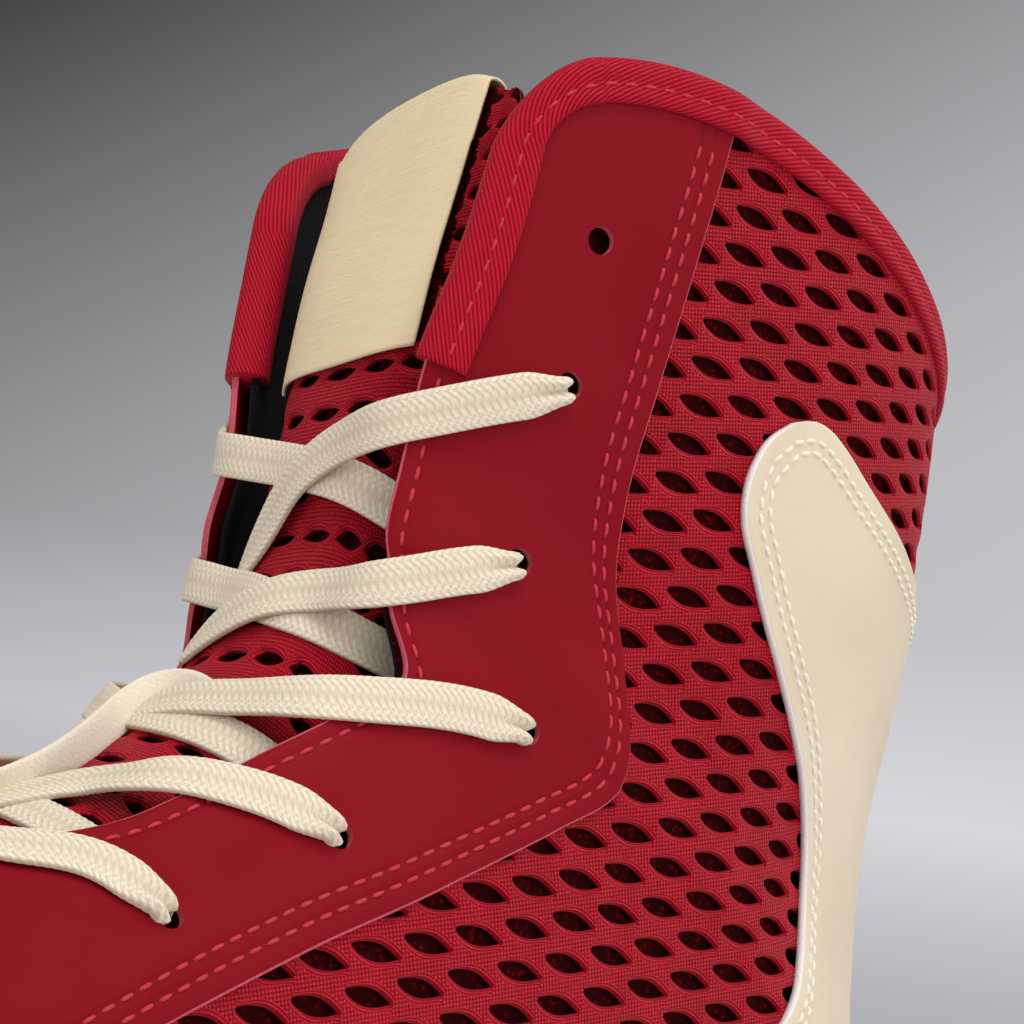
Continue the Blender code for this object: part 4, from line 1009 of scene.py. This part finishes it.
# Collar tape: a folded profile along both throat edges and the rim
tape = {"lowRow": 13.9, "throatWidth": 6.3, "rimWidth": 5.6, "backWidth": 4.4, "thick": 0.95, "wall": 3.2,
        "cornerTurn": 5.0, "roll": 1.75, "over": 1.7, "drop": 1.25, "dropFrom": 69.5, "dropTo": 77.5}


def rimReach(s, side):  # rows for each mm down at the rim
    s = side * np.asarray(s, float)
    return 0.5 / np.linalg.norm(onLast(rimRow, s) - onLast(rimRow - 0.5, s), axis=-1)


def tapePath(share, side):  # row and girth of the line at this share of the tape's width
    fold = rim["cornerRadius"] - share * tape["cornerTurn"]   # the inner edge turns more tightly
    reach = rimReach(np.array([34.0 + 8.0 * share]), side)[0]
    arc = np.linspace(0, np.pi / 2, 31)[1:]
    dx, dy = share * tape["throatWidth"], share * tape["rimWidth"]
    high = rimLine(30.0 + dx + fold - fold * np.cos(arc), side)
    uRun = np.linspace(tape["lowRow"], rimLine(30.0 + dx, side) - (dy + fold) * reach, 70)
    u = np.concatenate([uRun, high - reach * (dy + fold - fold * np.sin(arc))])
    s = smoothLine(throatTable, u) + np.concatenate([np.full(70, dx), dx + fold - fold * np.cos(arc)])
    t = np.linspace(0, 1, 150)[1:]
    end = girthEnd(np.array([rimRow]), side)[0]
    sRim = s[-1] + (end - s[-1]) * t
    width = tape["rimWidth"] + (tape["backWidth"] - tape["rimWidth"]) * softStep(t, 0.1, 0.9)
    uRim = rimLine(sRim, side) - share * width * rimReach(sRim, side)
    out = np.concatenate([np.tile([0.0, 1.0], (70, 1)), np.stack([np.sin(arc), np.cos(arc)], 1),
                          np.tile([1.0, 0.0], (len(t), 1))])
    return np.concatenate([u, uRim]), np.concatenate([s, sRim]), out


def tapeBase(s):  # the tape lies over the eyestay, and nearer the knit behind it
    return tape["over"] - tape["drop"] * softStep(s, tape["dropFrom"], tape["dropTo"])


def makeTape():
    thick, wall = tape["thick"], tape["wall"]
    # share of the width in from the edge, mm beyond it, lift, and 1 where the lift is over the outer base
    outside = [(1.0, 0.45), (0.94, 0.8), (0.8, 1.0), (0.64, 0.98), (0.5, 0.78), (0.36, 1.0), (0.2, 1.12),
               (0.08, 1.1)]
    profile = [(1.0, 0.0, -0.25, 1)] + [(share, 0.0, high * thick, 1) for share, high in outside]
    for turn in np.radians((78, 56, 34, 12, -12, -34, -56, -78)):   # half-round roll over the edge
        high = 0.5 + 0.5 * np.sin(turn)
        profile.append((0.0, tape["roll"] * np.cos(turn), thick * high - (wall + thick) * (1 - high), high))
    profile += [(0.15, 0.0, -wall - thick, 0), (0.38, 0.0, -wall - thick, 0),
                (0.6, 0.0, -wall - 0.8 * thick, 0), (0.6, 0.0, -wall + 0.4, 0)]
    loops = []
    for side in (1, -1):
        columns = []
        for share, beyond, lift, onTop in profile:
            u, s, out = tapePath(share, side)
            p = skin(u, side * s, tapeBase(s) * onTop + lift)
            if beyond:
                up = unit(onLast(np.minimum(u + 0.05, lastTop), side * s) - onLast(u - 0.05, side * s))
                fore = unit(onLast(u, side * (s - 0.6)) - onLast(u, side * (s + 0.6)))
                p = p + (out[:, :1] * up + out[:, 1:] * fore) * beyond
            columns.append(p)
        loops.append(np.stack(columns, 1))
    ring = np.concatenate([loops[0], loops[1][-2::-1]], 0)
    points, numbers = joinGrids([ring])
    along = np.broadcast_to(runLength(ring[:, 4])[:, None], ring.shape[:2])
    across = np.cumsum(np.linalg.norm(np.diff(ring, axis=1, prepend=ring[:, :1]), axis=2), 1)
    makePiece("collarTape", points, tubeQuads(numbers[0]), [twill], ["collar_binding"],
              {"tape": np.stack([along, across], -1).reshape(-1, 2)})


makeTape()


# Tongue: a padded body under its own knit; it has sunk in where no foot fills the shoe
tongue = {"thick": 5.0, "side": 12.0, "top": 18.0, "foot": 4.6, "wall": 3.0, "leastHalf": 12.0,
          "innerCut": 15.6}
tongueCrown = [(4.5, -2.6), (5.6, -2.8), (6.5, -3.6), (8.0, -5.2), (9.5, -7.0), (11.0, -8.0), (13.0, -6.6),
               (14.5, -7.6), (16.0, -9.2), (18.0, -10.2)]
tongueUnder = [(5.2, 2.9), (6.4, 1.1), (12.6, 1.1), (13.6, 2.5)]   # mm under the upper's wall, by row
tongueCover = [(6.4, 0.6), (9.0, 1.8)]     # least depth under the crown
tongueThin = [(16.4, 1.0), (18.0, 0.6)]    # share of the thickness near the top
tongueLattice = {"along": (9.2, 0.8), "down": (-1.4, -6.4), "origin": (2.0, 4.0), "tip": (3.9, 0.55),
                 "bulge": (-0.9, 1.0), "tipPower": 1.9, "edgePoints": (10, 6)}
label = {"half": 20.0, "foot": 13.84, "slant": 0.013, "off": 0.5, "thick": 0.5, "backRows": 2.0, "bare": 2.0}


def tongueLifts(u, s):  # outer and inner face under the skin of the last, full between the throat edges
    edge = np.maximum(throatEdge(u), 1e-3)
    inside = np.clip(1 - (np.abs(s) / np.maximum(edge - 1.0, 1e-3)) ** 2, 0, 1)
    inside = inside * np.clip((u - 5.6) / 0.8, 0, 1)
    crown = smoothLine(tongueCrown, u)
    under = -(tongue["wall"] + lineAt(tongueUnder, u))
    under = np.minimum(under, crown - lineAt(tongueCover, u))
    outer = under + (crown - under) * inside
    side = np.clip((np.abs(s) - edge + 2) / (tongue["side"] + 2), 0, 1)
    return outer, outer - tongue["thick"] * (1 - 0.55 * side) * lineAt(tongueThin, u)


tongueTop = [(-46.0, 2.3), (-34.0, 1.9), (-28.0, 1.5), (-20.0, 1.04), (-14.0, 0.62), (-4.0, 0.16), (6.0, 0.0),
             (14.0, 0.1), (20.0, 0.32), (26.0, 0.53), (31.0, 0.74), (35.0, 1.3), (39.0, 2.0), (46.0, 2.6)]


def tongueRow(u, s):  # rows fall from the middle of the top to its sides; the outer side is a little higher
    return u - np.clip((u - 14.0) / 4.0, 0, 1) * smoothLine(tongueTop, s)


def tongueEdge(u):  # half width between the throat edges
    return np.maximum(throatEdge(np.maximum(u, 5.02)), tongue["leastHalf"])


def makeTongue():
    u = np.linspace(tongue["foot"], tongue["top"], 110)
    t = np.linspace(-1, 1, 61)
    s = (tongueEdge(u) + tongue["side"])[:, None] * t[None, :]
    rows = tongueRow(u[:, None] + 0 * s, s)
    outer, inner = tongueLifts(rows, s)
    front = skin(rows, s, np.minimum(outer - 1.5, 0.5 * (outer + inner)))
    back = skin(rows, s, inner)
    points, numbers = joinGrids([front, back])
    quads = [gridQuads(numbers[0]), gridQuads(numbers[1])[:, ::-1]]
    for line in (lambda n: n[0], lambda n: n[-1], lambda n: n[:, 0], lambda n: n[:, -1]):
        quads.append(gridQuads(np.stack([line(numbers[0]), line(numbers[1])])))
    slots = np.concatenate([np.full(len(q), min(k, 1)) for k, q in enumerate(quads)])
    pad = makePiece("tonguePad", points, np.concatenate(quads), [net, lining], ["tongue"],
                    faceSlots=slots)


def makeTongueKnit():
    # over the pad, in girth and length along the ridge; it is cut away beside and under the label
    rowLine = np.linspace(tongue["foot"], tongue["top"], 300)
    length = runLength(onLast(rowLine, 0 * rowLine))
    centres = latticeCentres(tongueLattice, 60)
    uAt = np.interp(centres[:, 1], length, rowLine)
    shown = (centres[:, 1] > 6) & (centres[:, 1] < length[-1] + 4.0)
    shown &= np.abs(centres[:, 0]) < tongueEdge(uAt) + 9.0
    flat, lift, quads, maps = latticeMesh(centres[shown], tongueLattice)
    corners = flat.reshape(-1, 2)[quads]
    middle = corners.mean(1)
    rowMiddle = np.interp(middle[:, 1], length, rowLine)
    covered = (np.abs(middle[:, 0]) < label["half"] + label["bare"]) & (rowMiddle > label["foot"] + 0.3)
    covered |= (middle[:, 0] < 0) & (rowMiddle > tongue["innerCut"])
    covered |= corners[..., 1].max(1) > length[-1] - 0.2
    s = flat[..., 0]
    rows = tongueRow(np.interp(flat[..., 1], length, rowLine), s)
    points = skin(rows, s, tongueLifts(rows, s)[0] + np.maximum(lift, -1.6) - 0.3).reshape(-1, 3)
    makePiece("tongueKnit", points, quads[~covered], [knit], ["tongue"], maps, outward=False)


makeTongue()
makeTongueKnit()


# Woven label, bare, folded over the tongue's top
def makeLabel():
    s = np.linspace(-label["half"], label["half"], 45)[None, :]
    foot = label["foot"] + label["slant"] * s
    u = foot + (tongue["top"] - foot) * np.linspace(0, 1, 70)[:, None]
    s = s + 0 * u
    rows = tongueRow(u, s)
    front = skin(rows, s, tongueLifts(rows, s)[0] + label["off"])
    sBack = s[:20]
    uBack = tongue["top"] - label["backRows"] * np.linspace(0, 1, 20)[:, None]
    rowsBack = tongueRow(uBack + 0 * sBack, sBack)
    back = skin(rowsBack, sBack, tongueLifts(rowsBack, sBack)[1] - label["off"])
    crest = unit(onLast(rows[-1], s[-1]) - onLast(rows[-1] - 0.1, s[-1]))
    turn = np.linspace(0, np.pi, 14)[1:-1, None, None]
    mid, arm = 0.5 * (front[-1] + back[0]), 0.5 * (front[-1] - back[0])
    rise = crest * 0.5 * np.linalg.norm(arm, axis=1, keepdims=True)
    bow = mid + arm * np.cos(turn) + rise * np.sin(turn)
    sheet = np.concatenate([front, bow, back])
    points, numbers = joinGrids([sheet])
    along = np.broadcast_to(runLength(sheet[:, 22])[:, None], sheet.shape[:2])
    across = np.broadcast_to(s[:1], sheet.shape[:2])
    maps = {"cloth": np.stack([across, along], -1).reshape(-1, 2)}
    piece = makePiece("tongueLabel", points, gridQuads(numbers[0]), [satin], ["tongue_label"],
                      maps, outward=False)
    print("label flat, mm: %.0f x %.0f" % (2 * label["half"], along[-1, 0]))
    thicken(piece, label["thick"], 1.0)


makeLabel()


# Laces: flat braid with slanted ribs in the mesh, folded in two where it goes down an eyelet
lace = {"width": 7.0, "thick": 1.35, "ribMm": 1.2, "ribDeep": 0.1, "wales": 4, "stepMm": 0.4, "around": 44,
        "rowMm": 12.0, "clear": 0.3, "ride": 1.6, "rideWide": 10.0, "edgeFrom": 16.0, "edgeRun": 14.0,
        "evenSteps": 23, "diveRun": 2.8, "diveDeep": 5.5}


def braidSweep(path, up, fold, narrow, relief):
    # closed flat band carried along a path; fold (0 to 1) creases its middle, narrow scales its width
    along = unit(np.gradient(path, axis=0))
    wide = unit(np.cross(up, along))
    up = np.cross(along, wide)
    turn = np.linspace(0, 2 * np.pi, lace["around"] + 1)[:-1]
    cx = np.sign(np.cos(turn)) * np.abs(np.cos(turn)) ** 0.6
    cz = np.sign(np.sin(turn)) * np.abs(np.sin(turn)) ** 0.55
    run = runLength(path)
    wale = np.abs(((cx * 0.5 + 0.5) * lace["wales"]) % 1.0 - 0.5) * 2.0   # 0 to 1 to 0 across each wale
    phase = run[:, None] / lace["ribMm"] + 0.9 * wale + 0.5 * (cz < 0)
    rib = (0.5 + 0.5 * np.cos(2 * np.pi * phase)) ** 0.8 * (0.4 + 0.6 * np.sin(np.pi * np.clip(wale, 0, 1)))
    fold = fold[:, None]
    x = cx * 0.5 * lace["width"] * narrow[:, None] + 0.05 * rib * np.sign(cx)
    z = cz * (0.5 * lace["thick"] * (1 + 0.6 * fold)) + relief * lace["ribDeep"] * rib * np.sign(cz)
    crease = np.exp(-(cx / 0.3) ** 2) * fold * (0.6 + 0.4 * np.sign(cz))
    z = z - 1.9 * crease + 0.9 * fold * (1 - cx ** 2)
    loops = path[:, None, :] + wide[:, None, :] * x[..., None] + up[:, None, :] * z[..., None]
    # second map column: rib height, which the braid's colour turns into painted shade in the valleys
    uv = np.stack([np.broadcast_to(run[:, None], rib.shape), 0.8 + (rib - 0.8) * relief], -1)
    return loops, uv


# Middle lines as (row, girth), from the eyelet (girth above zero) over the tongue: on each pair of eyelets
# the first runs from the outer side and lies on top, the second from the inner side
laceRoutes = [
    ([(14.3, 48.7), (13.9, 38.0), (13.5, 29.3), (13.25, 24.5), (12.9, 18.0), (12.48, 5.6), (11.78, -2.9),
      (10.84, -7.7), (10.4, -16.0)],
     [(14.3, 48.7), (13.8, 36.0), (13.2, 28.5), (12.88, 23.5), (12.6, 14.8), (12.45, 4.0), (12.3, -6.4),
      (12.28, -17.0), (12.4, -27.0)]),
    ([(12.7, 48.0), (11.92, 37.0), (11.24, 32.5), (10.66, 28.5), (10.3, 24.0), (10.1, 15.7), (9.7, 3.2),
      (9.42, -6.1), (9.2, -15.0)],
     [(12.7, 48.0), (11.9, 37.0), (11.2, 32.0), (10.6, 27.5), (10.2, 19.1), (9.9, 4.0), (9.72, -7.0),
      (9.76, -17.0), (9.95, -28.0), (10.2, -37.0)]),
    ([(10.4, 57.8), (9.88, 46.6), (9.45, 38.8), (9.1, 33.2), (8.75, 27.0), (8.56, 19.2), (8.42, 12.0),
      (8.3, 5.0), (8.2, -2.0), (8.1, -9.0), (8.1, -16.0)],
     [(10.4, 57.8), (9.85, 46.0), (9.3, 39.0), (8.8, 32.5), (8.4, 22.0), (8.15, 8.0), (8.1, -8.0),
      (8.18, -18.0), (8.26, -25.0), (8.3, -32.0)]),
    ([(8.1, 45.0), (7.88, 37.0), (7.66, 32.2), (7.42, 27.5), (7.12, 20.5), (6.98, 13.3), (6.58, 10.2),
      (6.28, 9.0), (6.02, 4.0), (5.95, -6.0), (6.0, -16.0)],
     [(8.1, 45.0), (7.85, 35.5), (7.4, 30.0), (7.05, 25.5), (6.65, 12.0), (6.45, 1.0), (6.4, -9.0),
      (6.48, -19.0), (6.62, -28.0)]),
    ([(6.7, 44.9), (6.56, 39.9), (6.36, 34.0), (6.1, 31.0), (5.84, 28.2), (5.62, 22.0), (5.52, 11.0),
      (5.5, 0.0), (5.5, -12.0)],
     [(6.7, 44.9), (6.45, 35.0), (6.2, 28.5), (5.98, 23.0), (5.78, 11.0), (5.7, 0.0), (5.7, -12.0)]),
    2 * ([(5.6, 40.8), (5.5, 29.0), (5.4, 21.0), (5.3, 15.5), (5.24, 8.0), (5.22, 0.0), (5.23, -4.0)],)]
laceCross = [6.0, 5.0, 12.0, 1.0, 0.0, 0.0]   # girth where the outer lace rides over the inner one
laceStrip = [(8.52, 13.0), (8.62, 6.0), (8.55, -0.5), (8.3, -3.5), (7.9, -1.5), (7.45, 2.0), (7.05, 5.0),
             (6.65, 7.0), (6.3, 7.5), (5.95, 6.0)]   # turned-over strip of the third lace
stripTwist = [(0.0, 20.0), (14.0, 55.0), (26.0, 85.0), (36.0, 92.0), (200.0, 88.0)]   # degrees, by mm run


def laceRun(route, side, crossAt, ride, twist=None):
    # taut from the panel over the throat edge, then on the tongue; a twisted stretch stands on edge
    rows, girths = np.array(route).T
    knot = np.concatenate([[0], np.cumsum(np.hypot(lace["rowMm"] * np.diff(rows), np.diff(girths)))])
    t = np.linspace(0, knot[-1], 500)
    u = smoothLine(np.stack([knot, rows], 1), t)
    s = smoothLine(np.stack([knot, girths], 1), t)
    face = tongueLifts(u, s)[0]
    over = np.clip((s - throatEdge(u) + lace["edgeFrom"]) / lace["edgeRun"], 0, 1)
    base = face + (eyestay["top"] - face) * 0.5 * (over + softStep(over, 0, 1))
    hump = ride * np.exp(-((s - crossAt) / lace["rideWide"]) ** 2)
    lift = base + 0.5 * lace["thick"] + lace["clear"] + hump
    flatPath = skin(u, side * s, lift)
    run = runLength(flatPath)
    at = np.arange(0, run[-1], lace["stepMm"])
    normal = lastNormal(u, side * s)
    kernel = np.hanning(2 * lace["evenSteps"] + 1)
    smooth = []
    for line in np.concatenate([flatPath, normal], 1).T:   # a band bends evenly: a running mean
        padded = np.pad(np.interp(at, run, line), lace["evenSteps"], mode="reflect", reflect_type="odd")
        smooth.append(np.convolve(padded, kernel / kernel.sum(), mode="valid"))
    even, up = np.stack(smooth[:3], 1), unit(np.stack(smooth[3:], 1))
    if twist:
        angle = np.radians(smoothLine(twist, at))[:, None]
        level = unit(np.cross(up, np.gradient(even, axis=0)))
        even = even + up * 0.2 * lace["width"] * np.sin(angle) ** 2
        up = up * np.cos(angle) + level * np.sin(angle)
        return braidSweep(even, up, 0 * at, 0.1 + 0.68 * softStep(at, 0.0, 18.0), 0.25)
    dive = np.clip(1 - at / lace["diveRun"], 0, 1)[:, None]
    heading = unit(np.gradient(even, axis=0))
    even = even - up * lace["diveDeep"] * dive ** 2
    up = unit(up + 1.4 * heading * dive ** 1.2)
    fold = 1 - softStep(at, 2.0, 9.5)
    narrow = 0.58 + 0.42 * softStep(at, 1.0, 8.5)
    return braidSweep(even, up, fold, narrow, 1.0)


def makeLaces():
    for k, (fromOuter, fromInner) in enumerate(laceRoutes):
        runs = [laceRun(fromOuter, 1, laceCross[k], lace["ride"]), laceRun(fromInner, -1, 0.0, 0.0)]
        if k == 2:
            runs.append(laceRun(laceStrip, 1, 21.0, 1.2, stripTwist))
        points, numbers = joinGrids([r[0] for r in runs])
        quads = np.concatenate([tubeQuads(n) for n in numbers])
        uv = np.concatenate([r[1].reshape(-1, 2) for r in runs])
        makePiece("laceCrossing%d" % (k + 1), points, quads, [braidCloth],
                  ["lace_%d" % (k + 1)], {"braid": uv})
        print("lace %d runs, mm:" % (k + 1), [round(float(r[1][-1, 0, 0])) for r in runs])


makeLaces()


# Stitches: short plump threads along a seam, their ends sunk in the sheet
thread = {"pitch": 3.3, "length": 2.5, "width": 0.66, "rise": 0.16, "sink": 0.35, "needle": 0.46}


def seamSteps(u, s, lift, spec):  # run of the seam, its number of stitches and their step
    run = runLength(skin(u, s, lift))
    count = max(int(run[-1] / spec["pitch"]), 1)
    return run, count, run[-1] / count


def onSeam(at, run, u, s, lift):
    return [np.interp(at, run, v) for v in (u, s, np.broadcast_to(lift, run.shape))]


def stitchRow(u, s, lift, spec):
    run, count, step = seamSteps(u, s, lift, spec)
    along = np.linspace(-0.5, 0.5, 9)
    at = ((np.arange(count) + 0.5) * step)[:, None] + along[None, :] * spec["length"]
    uAt, sAt, liftAt = onSeam(at, run, u, s, lift)
    bow = 1 - (2 * along) ** 2
    centre = skin(uAt, sAt, liftAt + spec["rise"] * bow - spec["sink"] * (1 - bow) ** 2)
    ahead = unit(np.gradient(centre, axis=1))
    up = lastNormal(uAt, sAt)
    side = unit(np.cross(up, ahead))
    up = np.cross(ahead, side)
    turn = np.linspace(0, 2 * np.pi, 9)[:-1]
    thick = 0.5 * spec["width"] * np.sqrt(np.clip(1 - (2 * np.abs(along)) ** 3.0, 0, 1))
    return (centre[:, :, None] + side[:, :, None] * (np.cos(turn) * thick[:, None])[None, ..., None]
            + up[:, :, None] * (np.sin(turn) * thick[:, None] * 0.8)[None, ..., None])


def needleRow(u, s, lift, spec):  # painted shade of a pinhole between each two stitches, as a small dark dish of two rings
    run, count, step = seamSteps(u, s, lift, spec)
    uAt, sAt, liftAt = onSeam(np.arange(count + 1) * step, run, u, s, lift)
    centre = skin(uAt, sAt, liftAt + 0.05)
    up = lastNormal(uAt, sAt)
    a = unit(np.cross(up, np.gradient(centre, axis=0)))
    b = np.cross(up, a)
    turn = np.linspace(0, 2 * np.pi, 9)[:-1, None]
    around = a[:, None] * np.cos(turn) + b[:, None] * np.sin(turn)
    outer = centre[:, None] + around * spec["needle"] - up[:, None] * 0.06
    return np.stack([outer, centre[:, None] + around * 0.03], 1)


def stitchPiece(name, rows, holes, materials):
    groups = [np.concatenate(rows)] + ([np.concatenate(holes)] if holes else [])
    points = np.concatenate([g.reshape(-1, 3) for g in groups])
    quads = [ringQuads(groups[0])]
    if holes:
        quads.append(ringQuads(groups[1], groups[0].size // 3))
    slots = np.concatenate([np.full(len(q), k) for k, q in enumerate(quads)])
    makePiece(name, points, np.concatenate(quads), materials, [], faceSlots=slots, weld=1e-6)


def makeStitches():
    rows, holes = [], []
    for side in (1, -1):
        lines = [(np.linspace(5.25, rimRow - 0.42, 900), seam) for seam in eyestay["outerSeams"]]
        lines = [(u, side * (stayEdge(u, side) - seam)) for u, seam in lines]
        u = np.linspace(5.3, tape["lowRow"] - 0.08, 700)
        lines.append((u, side * (throatEdge(u) + eyestay["throatSeam"])))
        for u, s in lines:
            rows.append(stitchRow(u, s, eyestay["top"] - seamDip + 0.04, thread))
            holes.append(needleRow(u, s, eyestay["top"] - seamDip, thread))
    stitchPiece("eyestayStitches", rows, holes, [redThread, needleShade])
    rows = []
    front, back, topOpen = counterEdges()
    topTangent = unit(np.gradient(back, axis=0))
    plump = dict(thread, pitch=2.6, length=2.15, width=0.76, rise=0.2)
    for side in (1, -1):
        for seam in counter["seams"]:
            keep = (front[:, 1] > 20) & (front[:, 1] < counterFront[-1][0] - seam - 1.5)
            tangent = unit(np.gradient(front, axis=0))[keep]
            a = front[keep] + np.stack([tangent[:, 1], -tangent[:, 0]], 1) * seam
            use = topOpen & (back[:, 0] > a[-1, 0] + 1.0)
            b = back[use] + np.stack([-topTangent[use, 1], topTangent[use, 0]], 1) * seam
            path = np.concatenate([a, b[::-1]])
            u, s = wrap(path, side)
            rows.append(stitchRow(u, side * s, counter["top"] - 0.08, plump))
    stitchPiece("counterStitches", rows, [], [creamThread])
    rows = []
    fine = dict(thread, length=2.4, width=0.5, rise=0.06)
    for side in (1, -1):
        u, s, out = tapePath(0.5, side)
        lift = tapeBase(s) + 0.8 * tape["thick"]
        rows.append(stitchRow(u[2:], side * s[2:], lift[2:], fine))
    stitchPiece("tapeStitches", rows, [], [redThread])


makeStitches()


# Outsole: the feather outline with a low wall, a stepped side and flex grooves underneath
sole = {"lipInner": 2.1, "lipOuter": 3.8, "step": 4.8, "grooveDepth": 1.6, "grooveWidth": 3.0,
        "linerInset": -6.8}
soleUnder = [(-6.0, 2.5), (4.0, 0.8), (14.0, 0.0), (82.0, 0.0), (112.0, 2.4), (140.0, 1.6), (164.0, 0.0),
             (216.0, 0.0), (240.0, 2.4), (262.0, 7.5), (282.0, 14.5)]
soleGrooves = [(24.0, 17.0), (37.0, 20.0), (50.0, 20.0), (63.0, 20.0), (172.0, 27.0), (183.0, 30.0),
               (194.0, 31.0), (205.0, 31.0)]


def featherLine(u, name, side):  # edge point and outward direction in plan
    def edge(v):
        row = lastRow(np.clip(v, 0, heelRow))
        return np.stack([row["endX"], row["shift"] + side * np.maximum(row[name], 0)], -1)
    run = edge(u + 0.02) - edge(u - 0.02)
    out = unit(np.stack([run[:, 1], -run[:, 0]], -1) * side)
    out[u <= 0.0] = (1.0, 0.0)
    out[u >= heelRow] = (-1.0, 0.0)
    return edge(u), out


def soleHeight(p, kind, value):
    # plan points p: value over the floor or the tread, or as a share of the wall; the tread has grooves
    x = p[..., 0]
    under = np.maximum(smoothLine(soleUnder, x), 0.0)
    if kind == "floor":
        return featherZ(x) + value
    if kind == "wall":
        return under + value * (featherZ(x) + lipHeight - under)
    lift = value + 0.0 * x
    if kind == "tread":
        for gx, half in soleGrooves:
            across = 1 - softStep(np.abs(x - gx), 0.3 * sole["grooveWidth"], 0.62 * sole["grooveWidth"])
            ends = 1 - softStep(np.abs(p[..., 1] + 1.0), half - 1.5, half)
            lift = lift + sole["grooveDepth"] * across * ends
    return under + lift


def soleRing(u, profile):  # profile rows (offset, share of the half width, kind, value) along both edges
    grids = []
    for name, side in (("edgeOut", 1.0), ("edgeIn", -1.0)):
        here, out = featherLine(u, name, side)
        shift = lastRow(u)["shift"]
        columns = []
        for offset, share, kind, value in profile:
            p = here + out * offset
            p[:, 1] = shift + (p[:, 1] - shift) * share
            columns.append(np.concatenate([p, soleHeight(p, kind, value)[:, None]], 1))
        grids.append(np.stack(columns, 1))
    points, numbers = joinGrids(grids)
    return points, mirrorQuads(numbers)


def makeSole():
    u = np.concatenate([np.linspace(0, 1, 24)[:-1], np.linspace(1, 10, 230)[:-1],
                        np.linspace(10, heelRow, 50)])
    lipIn, lip, step = sole["lipInner"], sole["lipOuter"], sole["step"]
    floor = [(lipIn, share, "floor", -0.3) for share in (0.0, 0.35, 0.7, 1.0)]
    wall = [(lipIn, 0.93), (lipIn + 0.2, 0.985), (lipIn + 0.6, 1.0), (lip - 0.5, 1.0), (lip - 0.12, 0.985),
            (lip, 0.94), (lip + 0.06, 0.8), (lip + 0.1, 0.66), (lip + 0.1, 0.6), (lip + 0.5, 0.585),
            (step - 0.15, 0.57), (step, 0.53), (step, 0.4), (step, 0.25)]
    wall = [(offset, 1.0, "wall", value) for offset, value in wall]
    foot = [(step - 0.2, 1.0, "foot", 1.4), (step - 0.7, 1.0, "foot", 0.6), (step - 1.3, 1.0, "foot", 0.12)]
    shares = (1.0, 0.93, 0.86, 0.79, 0.72, 0.65, 0.58, 0.5, 0.4, 0.3, 0.2, 0.1, 0.0)
    tread = [(step - 1.9, share, "tread", 0.0) for share in shares]
    points, quads = soleRing(u, floor + wall + foot + tread)
    makePiece("rubberSole", points, quads, [rubber], ["outsole"], weld=1e-5)
    inset = sole["linerInset"]
    liner = [(0.0, 0.0, 4.0), (0.0, 0.5, 4.0), (-0.6, 1.0, 4.0), (-0.1, 1.0, 3.6), (0.0, 1.0, 0.1),
             (0.0, 0.5, 0.1), (0.0, 0.0, 0.1)]
    points, quads = soleRing(u, [(inset + offset, share, "floor", value) for offset, share, value in liner])
    makePiece("sockLiner", points, quads, [lining], ["insole"], weld=1e-5)


makeSole()

bpy.data.objects.remove(eyeletCutter)
